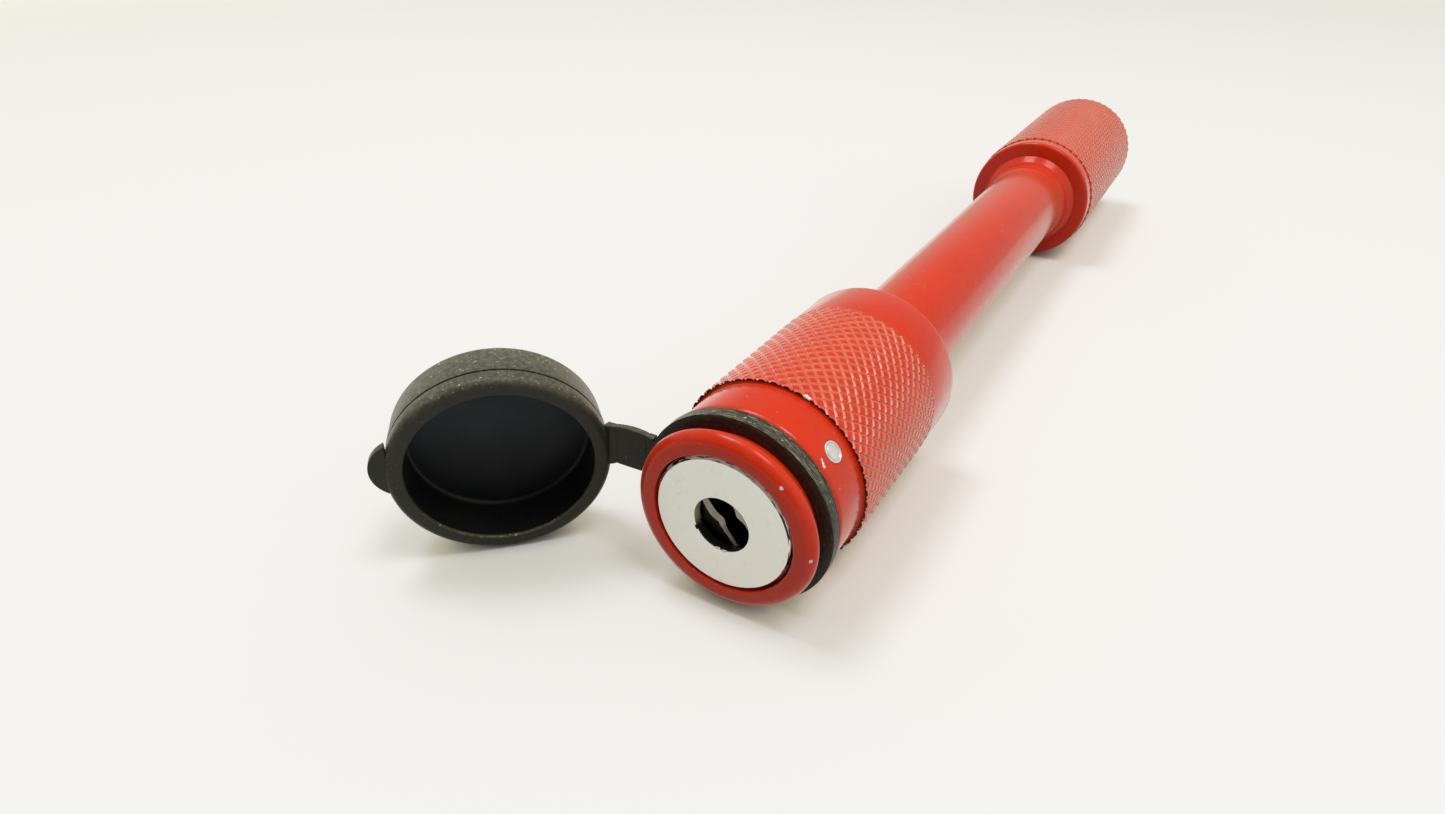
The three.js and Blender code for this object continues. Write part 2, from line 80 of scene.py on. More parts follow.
shaft_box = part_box("pin_shaft")
head_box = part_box("end_head")
lock_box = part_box("lock_housing")
fold = next(joint for joint in frame["joints"] if joint["name"] == "cap_fold")

LOCK_FACE = lock_box[0].y / MM
SHOULDER = lock_box[1].y / MM
END_HEAD = head_box[0].y / MM
CLOSED_MOUTH = LOCK_FACE + 2.54


# Sizes and colours that a user would change

def length(name, description, default):
    """A length property whose default is given in millimetres."""
    return FloatProperty(
        name=name, description=description, default=default * MM, min=0, unit="LENGTH", precision=5
    )


def colour(name, description, default):
    """A colour property."""
    return FloatVectorProperty(
        name=name, description=description, default=default, size=3, min=0, max=1, subtype="COLOR"
    )


class HitchPinSizes(bpy.types.PropertyGroup):
    """Sizes of the pin's visible pieces"""

    shaft_radius: length("Shaft Radius", "The plain shaft", 7.9375)
    head_radius: length("Head Radius", "Over the knurl's tips", 12.7)
    collar_radius: length("Collar Radius", "The collar by the end head", 9.7)
    band_radius: length("Front Band Radius", "The band in front of the knurl", 12.05)
    rear_radius: length("Rear Band Radius", "The band behind the knurl", 12.55)
    lip_radius: length("Lip Radius", "The rounded lip round the lock face", 11.65)
    groove_radius: length("Ring Groove Radius", "At the floor of the ring's groove", 10.4)
    bore_radius: length("Bore Radius", "The bore round the lock cylinder", 9.1)
    face_radius: length("Lock Face Radius", "The bright lock face", 8.86)
    keyhole_radius: length("Keyhole Radius", "The round keyhole", 3.55)
    ring_radius: length("Rubber Ring Radius", "Outside of the rubber ring", 12.4)
    cap_radius: length("Cap Rim Radius", "Outside of the dust cap's rim", 13.4)
    cap_height: length("Cap Height", "Height of the dust cap", 8)
    knurl_depth: length("Knurl Depth", "Depth of the grooves between the diamonds", 0.24)
    knurl_groove: length("Knurl Groove", "Half width of the grooves between the diamonds", 0.2)
    knurl_around: IntProperty(
        name="Knurl Count", description="Diamonds round the head", default=48, min=12, max=96
    )


class HitchPinColours(bpy.types.PropertyGroup):
    """Colours of the pin's finishes"""

    paint: colour("Paint", "Gloss enamel on heads and shaft", (0.79, 0.036, 0.007))
    paint_worn: colour("Worn Paint", "Where the enamel is thin or rubbed", (0.78, 0.14, 0.06))
    bare: colour("Bare Metal", "Metal that shows in chips", (0.88, 0.87, 0.82))
    chrome: colour("Chrome", "Lock face", (0.71, 0.7, 0.63))
    steel: colour("Steel", "Bolt, guide, clip and retaining pin", (0.56, 0.55, 0.52))
    brass: colour("Brass", "Key plug", (0.6, 0.5, 0.3))
    rubber: colour("Rubber", "Ring, strap and dust cap", (0.017, 0.017, 0.011))
    dust: colour("Dust", "Fine dust that lies on the rubber", (0.36, 0.35, 0.23))
    # Cap Inside is a bluish painted reflection on the clean rubber inside the cap
    cup: colour("Cap Inside", "Clean rubber inside the dust cap", (0.01, 0.021, 0.027))
    floor: colour("Floor", "Pale table top", (0.896, 0.888, 0.847))


def in_mm(*names):
    """The sizes of these names, in millimetres."""
    sizes = bpy.context.scene.hitch_pin_sizes
    return [getattr(sizes, name) / MM for name in names]


STEPS = []


def listed(operator):
    """Adds an operator to the steps, which run in the order of this file."""
    STEPS.append(operator)
    return operator


# Helpers for selecting and shaping

def clear_selection():
    """Leaves edit mode and deselects everything."""
    if bpy.context.object and bpy.context.object.mode != "OBJECT":
        bpy.ops.object.mode_set(mode="OBJECT")
    bpy.ops.object.select_all(action="DESELECT")


def select_only(piece):
    """Makes the piece the active one and the only one that is selected."""
    clear_selection()
    piece.select_set(True)
    bpy.context.view_layer.objects.active = piece


def add(primitive, name, place, **settings):
    """Adds a primitive at a place in millimetres, names it and applies its place."""
    clear_selection()
    primitive(location=[distance * MM for distance in place], **settings)
    piece = bpy.context.object
    piece.name = piece.data.name = name
    bpy.ops.object.transform_apply()
    return piece


def move(piece, place):
    """Puts the piece where a matrix says and applies that to its mesh."""
    piece.matrix_world = place
    select_only(piece)
    bpy.ops.object.transform_apply()


def start_edit(mode="VERT"):
    """Opens edit mode with everything selected."""
    bpy.ops.object.mode_set(mode="EDIT")
    bpy.ops.mesh.select_mode(type=mode)
    bpy.ops.mesh.select_all(action="SELECT")


def face_outwards():
    """Turns the faces of the mesh in edit mode outwards and leaves edit mode."""
    bpy.ops.mesh.select_all(action="SELECT")
    bpy.ops.mesh.normals_make_consistent()
    bpy.ops.object.mode_set(mode="OBJECT")


def pick(piece, mode, test):
    """Selects the vertices, edges or faces of the piece in edit mode for which the test holds."""
    mesh = bmesh.from_edit_mesh(piece.data)
    mesh.select_mode = {mode}
    bpy.context.tool_settings.mesh_select_mode = (mode == "VERT", mode == "EDGE", mode == "FACE")
    for group in (mesh.faces, mesh.edges, mesh.verts):
        for element in group:
            element.select = False
    for element in {"VERT": mesh.verts, "EDGE": mesh.edges, "FACE": mesh.faces}[mode]:
        if test(element):
            element.select_set(True)
    mesh.select_flush_mode()
    bmesh.update_edit_mesh(piece.data)


def smooth(piece, angle=SMOOTH_ANGLE):
    """Smooths all edges but those that are sharper than the angle."""
    select_only(piece)
    bpy.ops.object.shade_smooth_by_angle(angle=angle)


def close_shape(piece):
    """Merges doubles, turns the faces outwards and smooths all but the sharp edges."""
    start_edit()
    bpy.ops.mesh.remove_doubles(threshold=MERGE_DISTANCE)
    face_outwards()
    smooth(piece)


def apply_modifier(piece, kind, **settings):
    """Adds a modifier with its settings and applies it."""
    select_only(piece)
    modifier = piece.modifiers.new(kind.title(), kind)
    for key, value in settings.items():
        setattr(modifier, key, value)
    bpy.ops.object.modifier_apply(modifier=modifier.name)


def widen(scale):
    """Scales what is selected about the pin's axis."""
    bpy.ops.transform.resize(value=(scale, 1, scale), center_override=(0, 0, 0))


def cut_with(piece, cutter):
    """Cuts the cutter's shape out of the piece and deletes the cutter."""
    apply_modifier(piece, "BOOLEAN", operation="DIFFERENCE", object=cutter, solver="EXACT")
    bpy.data.objects.remove(cutter)


def round_edges(piece, width, segments, angle=SMOOTH_ANGLE):
    """Rounds the sharp edges of the piece and smooths it."""
    apply_modifier(
        piece, "BEVEL", width=width * MM, segments=segments, limit_method="ANGLE",
        angle_limit=BEVEL_ANGLE,
    )
    smooth(piece, angle)


def cylinder(name, sides, radius, depth, place, turned=(QUARTER_TURN, 0, 0), ends="NGON"):
    """A cylinder, along Y unless it is turned otherwise."""
    return add(
        bpy.ops.mesh.primitive_cylinder_add, name, place, vertices=sides, radius=radius * MM,
        depth=depth * MM, end_fill_type=ends, rotation=turned,
    )


def filleted(outline, steps):
    """An outline of (radius, station), with a corner rounded where it has a fillet as well.

    One that ends at its own first point stays closed.
    """
    closed = outline[0] == outline[-1]
    corners = outline[:-1] if closed else outline
    points = []
    for index, (radius, station, *fillet) in enumerate(corners):
        here = Vector((radius, station))
        if not fillet:
            points.append((radius, station))
            continue
        before = Vector(corners[index - 1][:2])
        after = Vector(corners[(index + 1) % len(corners)][:2])
        to_before, to_after = (before - here).normalized(), (after - here).normalized()
        half = to_before.angle(to_after) / 2
        reach = fillet[0] / math.tan(half)
        centre = here + (to_before + to_after).normalized() * (fillet[0] / math.sin(half))
        first, last = here + to_before * reach, here + to_after * reach
        start, end = first - centre, last - centre
        sweep = start.angle_signed(end)
        for step in range(steps + 1):
            turned = start.copy()
            turned.rotate(Matrix.Rotation(-sweep * step / steps, 2))
            points.append(tuple(centre + turned))
    if closed:
        points.append(points[0])
    return points


def turn(name, profile, origin=0, steps=4, sides=HEAD_SIDES):
    """A shape turned about Y from a profile of (radius, station, fillet), ring by ring.

    Sharp corners have no fillet. Stations count from the origin, and steps is the number of
    faces in a fillet. A profile that comes back to its first point is closed there. Any other
    has its two ends filled.
    """
    outline = filleted([(radius, origin + at, *fillet) for radius, at, *fillet in profile], steps)
    closed = outline[0] == outline[-1]
    radius, station = outline[0]
    piece = add(
        bpy.ops.mesh.primitive_circle_add, name, (0, station, 0), vertices=sides,
        radius=radius * MM, rotation=(QUARTER_TURN, 0, 0),
    )
    start_edit("EDGE")
    if not closed:
        bpy.ops.mesh.edge_face_add()
    for (radius, station), (next_radius, next_station) in zip(outline, outline[1:]):
        bpy.ops.mesh.extrude_edges_move(
            TRANSFORM_OT_translate={"value": (0, (next_station - station) * MM, 0)}
        )
        if next_radius != radius:
            widen(next_radius / radius)
    if not closed:
        bpy.ops.mesh.edge_face_add()
    close_shape(piece)
    return piece


# The sleeve is shifted by a share of a row before it is trimmed, and has an inner radius that
# is a share of its outer one. Its body is sunk a little under the grooves
SLEEVE_SHIFT = -0.15
SLEEVE_INSIDE = 0.945
SLEEVE_SINK = 0.06


def knurled_sleeve(low, high, rows):
    """A closed sleeve of raised diamonds, cut by two sets of crossing grooves.

    It is made a row too long and trimmed at both ends, so its edges are toothed.
    """
    around = bpy.context.scene.hitch_pin_sizes.knurl_around
    head, depth, groove = in_mm("head_radius", "knurl_depth", "knurl_groove")
    root = head - depth
    row = (high - low) / rows
    middle = (low + high) / 2 + SLEEVE_SHIFT * row
    place = (0, middle, 0)
    piece = cylinder("knurled_sleeve", around, root, high - low + row, place, ends="NOTHING")
    bpy.ops.object.mode_set(mode="EDIT")
    pick(piece, "EDGE", lambda edge: abs(edge.verts[0].co.y - edge.verts[1].co.y) > MM / 2)
    bpy.ops.mesh.subdivide(number_cuts=rows)
    corners = len(bmesh.from_edit_mesh(piece.data).verts)
    bpy.ops.mesh.select_all(action="SELECT")
    bpy.ops.mesh.poke()
    pick(
        piece, "VERT",
        lambda vertex: math.hypot(vertex.co.x, vertex.co.z) < (root - 0.005) * MM,
    )
    widen(1 / math.cos(math.pi / around))
    pick(
        piece, "EDGE",
        lambda edge: not edge.is_boundary and all(end.index < corners for end in edge.verts),
    )
    bpy.ops.mesh.dissolve_edges(use_verts=False)
    bpy.ops.mesh.select_mode(type="FACE")
    bpy.ops.mesh.select_all(action="SELECT")
    bpy.ops.mesh.normals_make_consistent()
    first = bmesh.from_edit_mesh(piece.data).faces[:][0]
    middle = first.calc_center_median()
    if first.normal.dot(Vector((middle.x, 0, middle.z))) < 0:
        bpy.ops.mesh.flip_normals()
    for thickness, rise in ((groove, depth * 0.85), (depth * 0.35, depth * 0.15)):
        bpy.ops.mesh.inset(thickness=thickness * MM, depth=rise * MM, use_individual=True)
    for station, side in ((low, -1), (high, 1)):
        bpy.ops.mesh.select_all(action="SELECT")
        bpy.ops.mesh.bisect(
            plane_co=(0, station * MM, 0), plane_no=(0, side, 0), clear_outer=True
        )
    bpy.ops.mesh.select_mode(type="EDGE")
    pick(piece, "EDGE", lambda edge: edge.is_boundary)
    bpy.ops.mesh.extrude_edges_move()
    widen(SLEEVE_INSIDE)
    bpy.ops.mesh.bridge_edge_loops()
    close_shape(piece)
    return piece


def set_finish(mesh, finish):
    """Gives the mesh one material, by its name."""
    mesh.materials.clear()
    mesh.materials.append(bpy.data.materials[finish])


def add_knurl(body, low, high, rows):
    """Joins a knurled sleeve to its body, as one object of two shells and two finishes."""
    sleeve = knurled_sleeve(low, high, rows)
    set_finish(body.data, "red_enamel")
    set_finish(sleeve.data, "knurl_enamel")
    select_only(body)
    sleeve.select_set(True)
    bpy.ops.object.join()
    smooth(body)


def finish_piece(piece, finish, body, slot, *nodes):
    """Gives the piece its finish and its body, and hides the CAD nodes it stands for. The slot is
    not used.
    """
    if finish:
        set_finish(piece.data, finish)
    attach(piece, body)
    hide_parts(*nodes)


# Shader helpers

def fill(made, inputs):
    """Links a node's inputs to the sockets given, or sets them to the values given."""
    for key, value in inputs.items():
        if isinstance(value, bpy.types.NodeSocket):
            made.id_data.links.new(value, made.inputs[key])
        else:
            made.inputs[key].default_value = value


def node(kind, inputs, **settings):
    """Adds a node to the tree of its first linked input, with its settings and inputs."""
    links = [value for value in inputs.values() if isinstance(value, bpy.types.NodeSocket)]
    made = links[0].id_data.nodes.new("ShaderNode" + kind)
    for key, value in settings.items():
        setattr(made, key, value)
    fill(made, inputs)
    return made


def maths(operation, first, second=0.5):
    return node("Math", {0: first, 1: second}, operation=operation).outputs[0]


def vector_maths(operation, first, second=(0, 0, 0)):
    made = node("VectorMath", {0: first, 1: second}, operation=operation)
    number = operation in ("LENGTH", "DISTANCE", "DOT_PRODUCT")
    return made.outputs["Value" if number else "Vector"]


times = partial(maths, "MULTIPLY")
plus = partial(maths, "ADD")
below = partial(maths, "LESS_THAN")
larger = partial(maths, "MAXIMUM")
size = partial(vector_maths, "LENGTH")
dot = partial(vector_maths, "DOT_PRODUCT")


def split(vector):
    """The three parts of a vector."""
    return node("SeparateXYZ", {"Vector": vector}).outputs


def noise(place, scale, detail, roughness=0.5):
    inputs = {"Vector": place, "Scale": scale, "Detail": detail, "Roughness": roughness}
    return node("TexNoise", inputs).outputs["Fac"]


def ramp(value, low, high, bottom=0, top=1, shape="SMOOTHSTEP"):
    """A value mapped from one range to another."""
    inputs = {"Value": value, "From Min": low, "From Max": high, "To Min": bottom, "To Max": top}
    return node("MapRange", inputs, interpolation_type=shape).outputs["Result"]


def blend(mask, first, second):
    """Two colours mixed by a mask."""
    inputs = {0: mask}
    for index, value in ((6, first), (7, second)):
        inputs[index] = value if isinstance(value, bpy.types.NodeSocket) else (*value, 1)
    return node("Mix", inputs, data_type="RGBA").outputs[2]


def shade(tint, share):
    """A darker or lighter version of a colour."""
    return tuple(min(1, channel * share) for channel in tint)


def new_group(name, output, **inputs):
    """A shader node group of a place and some numbers, with one output: its two end nodes."""
    tree = bpy.data.node_groups.new(name, "ShaderNodeTree")
    tree.interface.new_socket("Vector", in_out="INPUT", socket_type="NodeSocketVector")
    for socket, default in inputs.items():
        made = tree.interface.new_socket(socket, in_out="INPUT", socket_type="NodeSocketFloat")
        made.default_value = default
    tree.interface.new_socket(output, in_out="OUTPUT", socket_type="NodeSocketFloat")
    return tree.nodes.new("NodeGroupInput").outputs, tree.nodes.new("NodeGroupOutput")


def speck_group():
    """Scattered specks, such as dust or chips: a mask of small random spots."""
    given, result = new_group("Specks", "Mask", Scale=2000, Size=0.25, Share=0.3)
    place = given["Vector"]
    cells = node("TexVoronoi", {"Vector": place, "Scale": given["Scale"]}).outputs
    red, green, _ = node("SeparateColor", {"Color": cells["Color"]}).outputs
    wobble = ramp(noise(place, 4200, 2), 0.3, 0.7, -0.12, 0.12)
    distance = plus(cells["Distance"], wobble)
    near = below(distance, times(given["Size"], green))
    chosen = below(red, given["Share"])
    fill(result, {"Mask": times(near, chosen)})


def mottle_group():
    """Soft uneven clouding: a value between two limits."""
    given, result = new_group("Mottle", "Value", Scale=120, Low=0, High=1)
    clouds = noise(given["Vector"], given["Scale"], 6, 0.6)
    fill(result, {"Value": ramp(clouds, 0.3, 0.7, given["Low"], given["High"], "LINEAR")})


def hairline_group():
    """Fine hairlines: a mask of thin scratches."""
    given, result = new_group("Hairlines", "Mask", Scale=900, Share=0.35)
    thin = ramp(noise(given["Vector"], given["Scale"], 3), 0.56, 0.68)
    broken = ramp(noise(given["Vector"], 260, 2), 0.42, 0.6)
    fill(result, {"Mask": times(times(thin, broken), given["Share"])})


def grouped(name, place, *numbers):
    """The output of a node that holds a shared group, with its numbers in order."""
    inputs = dict(enumerate((place, *numbers)))
    return node("Group", inputs, node_tree=bpy.data.node_groups[name]).outputs[0]


specks = partial(grouped, "Specks")
mottle = partial(grouped, "Mottle")
hairlines = partial(grouped, "Hairlines")


def new_material(name):
    """A material of one surface shader: that shader, and the object's coordinates."""
    material = bpy.data.materials.new(name)
    material.use_nodes = True
    nodes = material.node_tree.nodes
    nodes.clear()
    shader = nodes.new("ShaderNodeBsdfPrincipled")
    fill(nodes.new("ShaderNodeOutputMaterial"), {"Surface": shader.outputs["BSDF"]})
    return shader, nodes.new("ShaderNodeTexCoord").outputs["Object"]


def slant(shader):
    """How far the surface is turned away from the eye, from 0 to 1."""
    return shader.id_data.nodes.new("ShaderNodeLayerWeight").outputs["Facing"]


def bump(shader, height, strength, distance):
    made = node("Bump", {"Height": height, "Strength": strength, "Distance": distance * MM})
    fill(shader, {"Normal": made.outputs["Normal"]})


def round_place(place, around, out=1):
    """Coordinates that follow the turning (angle, station, radius about Y), and the radius."""
    x, y, z = split(place)
    radius = size(node("CombineXYZ", {"X": x, "Z": z}).outputs[0])
    angle = maths("ARCTAN2", z, x)
    turned = {"X": times(angle, around), "Y": y, "Z": times(radius, out)}
    return node("CombineXYZ", turned).outputs[0], radius


def chip_mask(place, spots):
    """A mask of a few ragged chips, each a point and a radius in millimetres."""
    wobble = ramp(noise(place, 1500, 3), 0.3, 0.7, -0.35, 0.35)
    total = None
    for x, y, z, radius in spots:
        away = vector_maths("DISTANCE", place, (x * MM, y * MM, z * MM))
        scaled = maths("DIVIDE", away, radius * MM)
        inside = below(plus(scaled, wobble), 1)
        total = inside if total is None else larger(total, inside)
    return total


# Each chip is a point with a radius, on the front band, the lip and the knurl
PAINT_CHIPS = [
    (4, -168.62, 12.05, 0.3), (4.55, -168.62, 11.85, 0.26), (5.41, -168.86, 11.49, 0.13),
    (9.28, -174.4, 7.66, 0.17), (9.05, -174.22, 7.95, 0.15), (8.82, -174.05, 8.2, 0.13),
    (7.36, -180.73, 8.03, 0.24), (11.2, -180.56, -0.39, 0.22), (0.6, -180.3, 10.9, 0.1),
    (-7.9, -168.7, 9.95, 0.12), (9.1, -149, 8.8, 0.16),
]
PAINT_DUST = (0.8, 0.45, 0.38)
PAINTED_EDGE_REFLECTION = (0.86, 0.4, 0.25)
# The knurl's painted highlight, the direction toward its light, and the painted shade on its front
# teeth
KNURL_PAINTED_HIGHLIGHT = (0.82, 0.36, 0.21)
KNURL_LIT = (0.35, -0.3, 0.88)
KNURL_PAINTED_SHADE = (0.085, 0.008, 0.005)
KNURL_FRONT_END = 13


def knurl_colour(place, base):
    """Painted highlight on the lit groove walls, and painted shade on the front teeth."""
    facing = place.node.outputs["Normal"]
    across = vector_maths("MULTIPLY", place, (1, 0, 1))
    radial = dot(vector_maths("NORMALIZE", across), facing)
    wall = ramp(radial, 0.74, 0.95, 1, 0)
    # Painted highlight: the groove walls that face the light are made paler
    lit = ramp(dot(facing, KNURL_LIT), 0.45, 0.95, 0.05, 0.9)
    pale = times(wall, times(lit, mottle(place, 420, 0.55, 1)))
    base = blend(pale, base, KNURL_PAINTED_HIGHLIGHT)
    # Painted shade on the front-facing walls of the knurl's front teeth
    end = ramp(split(facing)[1], -0.75, -0.95, 0, 0.92)
    front = below(split(place)[1], (LOCK_FACE + KNURL_FRONT_END) * MM)
    high = ramp(size(across), 12.22 * MM, 12.36 * MM)
    return blend(times(end, times(front, high)), base, KNURL_PAINTED_SHADE)


def paint_material(name, colours, knurled=False):
    """Gloss enamel over metal: slight orange peel, clouding, dust, rubbed tips, chips, painted
    reflection.
    """
    shader, place = new_material(name)
    base = blend(mottle(place, 90), shade(colours.paint, 0.9), colours.paint)
    base = blend(times(mottle(place, 900), 0.1), base, colours.paint_worn)
    base = blend(times(specks(place, 1100, 0.16, 0.22), 0.35), base, PAINT_DUST)
    if knurled:
        base = knurl_colour(place, base)
    slanting = slant(shader)
    # Painted reflection: the enamel turns paler where the surface is seen side-on
    base = blend(ramp(slanting, 0.52, 1, 0, 0.5), base, PAINTED_EDGE_REFLECTION)
    chips = chip_mask(place, PAINT_CHIPS)
    sheen = plus(mottle(place, 240, 0.16, 0.27), hairlines(place, 700, 0.12))
    fill(shader, {
        "Base Color": blend(chips, base, colours.bare),
        "Roughness": sheen,
        "Specular IOR Level": 0.25,
        "Coat Weight": ramp(slanting, 0.35, 0.85, 0, 0.6),
        "Coat Roughness": 0.14,
    })
    bump(shader, plus(noise(place, 650, 2), times(chips, -1.5)), 0.25, 0.05)


# Painted glints on the keyhole's rim, each a point with a radius
KEYHOLE_GLINTS = [
    (-0.62, -180.62, -3.5, 0.14), (-0.38, -180.62, -3.55, 0.17), (0.28, -180.62, -3.62, 0.17),
    (0.55, -180.62, -3.6, 0.14),
]
GLINT = (0.95, 0.94, 0.88)
CHROME_SPECK = (0.3, 0.29, 0.26)
CHROME_REFLECTION_STREAK = (0.03, 0.027, 0.02)
KEYHOLE_PAINTED_SHADE = (0.03, 0.022, 0.016)
KEYHOLE_PAINTED_LIGHT = (0.8, 0.72, 0.52)


def chrome_material(colours, sizes):
    """Plated lock face: faint turning lines, hairlines, and painted reflections, glints and shade.
    """
    flat_edge = sizes.face_radius - 0.35 * MM
    keyhole_edge = sizes.keyhole_radius + 0.03 * MM
    shader, place = new_material("chrome_plate")
    turned, radius = round_place(place, 0.004)
    x, _, z = split(place)
    hairs = hairlines(place, 1100, 1)
    base = blend(times(hairs, 0.35), colours.chrome, shade(colours.chrome, 0.82))
    base = blend(times(specks(place, 900, 0.12, 0.1), 0.6), base, CHROME_SPECK)
    edge = ramp(radius, flat_edge - 0.05 * MM, flat_edge)
    # Painted reflection: dark streaks round the edge's chamfer
    drawn, _ = round_place(place, 0.0016, 2.2)
    reflection_streaks = ramp(noise(drawn, 2600, 2), 0.49, 0.56)
    base = blend(times(edge, reflection_streaks), base, CHROME_REFLECTION_STREAK)
    # The keyhole's wall is painted lit on its upper left and in painted shade elsewhere
    hole = below(radius, keyhole_edge)
    left = ramp(x, -0.55 * keyhole_edge, -0.92 * keyhole_edge)
    upper = ramp(z, -0.45 * keyhole_edge, -0.05 * keyhole_edge)
    base = blend(hole, base, blend(times(left, upper), KEYHOLE_PAINTED_SHADE, KEYHOLE_PAINTED_LIGHT))
    # Painted highlight on the upper part of the chamfer, between the streaks
    painted_highlight = times(edge, maths("SUBTRACT", 1, reflection_streaks))
    painted_highlight = times(painted_highlight, ramp(z, 0.1 * sizes.face_radius, 0.6 * sizes.face_radius))
    # Painted glints and the painted highlight are white and not metallic
    painted_glints = larger(chip_mask(place, KEYHOLE_GLINTS), painted_highlight)
    plain = larger(painted_glints, times(hole, 0.7))
    fill(shader, {
        "Base Color": blend(painted_glints, base, GLINT),
        "Metallic": maths("SUBTRACT", 1, plain),
        "Roughness": plus(mottle(place, 160, 0.13, 0.24), times(hairs, 0.1)),
    })
    bump(shader, noise(turned, 2600, 2), 0.12, 0.01)


def metal_material(name, tint, dark_share, low, high, turned_lines=False, metallic=1):
    """Bare machined metal: turning lines, stains and uneven sheen."""
    shader, place = new_material(name)
    stains = mottle(place, 260)
    base = blend(stains, shade(tint, dark_share), tint)
    fill(shader, {
        "Base Color": blend(hairlines(place, 1000, 0.5), base, tint),
        "Metallic": metallic,
        "Roughness": ramp(stains, 0, 1, high, low),
    })
    grain = round_place(place, 0.003)[0] if turned_lines else place
    bump(shader, noise(grain, 1500, 3), 0.2, 0.02)


# Scale, size, share and strength of each layer of pale specks on the rubber
RUBBER_SPECKS = [(1500, 0.24, 0.34, 0.6), (2600, 0.25, 0.4, 0.45), (800, 0.14, 0.11, 0.9)]
CUP_RADIUS = 11.95
CUP_DEPTH = 7.2
# Painted shade deep inside the cap
CUP_SHADE = (0.001, 0.0015, 0.0015)


def rubber_material(name, colours, dust_share, inside=None, turned_scratches=False):
    """Moulded rubber: fine grain, dust that lies where it faces up, pale specks and a painted
    sheen.

    The inside of a cup, given by its mouth's centre and its axis, is cleaner, with painted shade
    and reflection.
    """
    shader, place = new_material(name)
    upward = ramp(split(place.node.outputs["Normal"])[2], -0.1, 0.85, 0.1, 1)
    grain = noise(place, 1900, 4)
    patches = mottle(place, 110)
    slanting = slant(shader)
    dust_and_sheen = ramp(patches, 0, 0.9, 0.65 * dust_share, dust_share)
    dust_and_sheen = times(times(dust_and_sheen, ramp(grain, 0.35, 0.65, 0.5, 1)), upward)
    # Painted sheen: dust colour added where the surface is seen side-on
    dust_and_sheen = plus(dust_and_sheen, ramp(slanting, 0.5, 1, 0, dust_share * 0.6))
    dark, clean = colours.rubber, 1
    if inside:
        centre, axis = inside
        away = vector_maths("SUBTRACT", place, centre)
        depth = dot(away, axis)
        radius = size(vector_maths("CROSS_PRODUCT", away, axis))
        deep = times(ramp(depth, 0.1 * MM, 0.7 * MM), below(radius, CUP_RADIUS * MM))
        deep = times(deep, below(depth, CUP_DEPTH * MM))
        clean = ramp(deep, 0, 1, 1, 0.05)
        # Painted sheen inside the cup: from painted shade low down to the bluish painted
        # reflection higher up
        sheen = ramp(split(place)[2], -3 * MM, 8 * MM, 0.1, 1)
        dark = blend(deep, dark, blend(sheen, CUP_SHADE, colours.cup))
        dust_and_sheen = times(dust_and_sheen, clean)
    base = blend(dust_and_sheen, dark, colours.dust)
    pale = shade(colours.dust, 1.8)
    for scale, width, share, strength in RUBBER_SPECKS:
        mask = times(times(specks(place, scale, width, share), strength), upward)
        base = blend(times(mask, clean), base, pale)
    height = plus(grain, times(patches, 0.3))
    if turned_scratches:
        lines = noise(round_place(place, 0.0012)[0], 9000, 2)
        base = blend(times(ramp(lines, 0.52, 0.62, 0, 0.3), upward), base, pale)
        height = plus(height, lines)
    fill(shader, {
        "Base Color": base,
        "Roughness": ramp(patches, 0, 1, 0.42, 0.6),
        "Specular IOR Level": 0.27,
        "Coat Weight": ramp(slanting, 0.45, 0.9, 0, 0.55),
        "Coat Roughness": 0.42,
    })
    bump(shader, height, 0.35, 0.03)


# The floor's own colour and its glow are tinted apart. The glow's share grows and turns to
# the backdrop's colour between two distances in metres, and it fades where a piece is near
FLOOR_GLOW_SHARE = 0.24
FLOOR_GLOW = (1.455, 1.376, 0.987)
FLOOR_MATT = (0.865, 0.901, 1.045)
FLOOR_FADE = (0.35, 1.3)
FLOOR_BOUNCE = 0.48
CONTACT_REACH = 3.4
CONTACT_SAMPLES = 8
BACKDROP = (0.92, 0.915, 0.87)


def floor_material(colours):
    """Pale matt table top, bright to the eye, that keeps its shadows."""
    shader, place = new_material("table_top")
    tree, output = shader.id_data, shader.outputs["BSDF"].links[0].to_node
    path = tree.nodes.new("ShaderNodeLightPath").outputs
    seen = larger(path["Is Camera Ray"], path["Is Glossy Ray"])
    seen = larger(seen, path["Is Transmission Ray"])
    matt = tuple(channel * share for channel, share in zip(colours.floor, FLOOR_MATT))
    bright = tuple(channel * share for channel, share in zip(colours.floor, FLOOR_GLOW))
    base = blend(mottle(place, 3), shade(matt, 0.985), matt)
    fill(shader, {
        "Base Color": blend(seen, shade(colours.floor, FLOOR_BOUNCE), base),
        "Roughness": 0.9,
        "Specular IOR Level": 0.1,
    })
    away = size(place)
    open_above = tree.nodes.new("ShaderNodeAmbientOcclusion")
    open_above.samples = CONTACT_SAMPLES
    fill(open_above, {"Distance": CONTACT_REACH * MM})
    glow = node("Emission", {
        "Color": blend(ramp(away, *FLOOR_FADE), bright, BACKDROP),
        "Strength": ramp(open_above.outputs["AO"], 0.1, 0.9),
    })
    share = times(seen, ramp(away, *FLOOR_FADE, FLOOR_GLOW_SHARE, 1))
    mixed = node("MixShader", {0: share, 1: shader.outputs[0], 2: glow.outputs[0]})
    fill(output, {"Surface": mixed.outputs[0]})


# Places about the strap's fold

def open_swing():
    """The turn about the strap's fold from the closed cap to the open one."""
    pivot = Vector(fold["pos_m"])
    turned = Matrix.Rotation(-math.radians(fold["range_deg"][1]), 4, Vector(fold["axis"]))
    return Matrix.Translation(pivot) @ turned @ Matrix.Translation(-pivot)


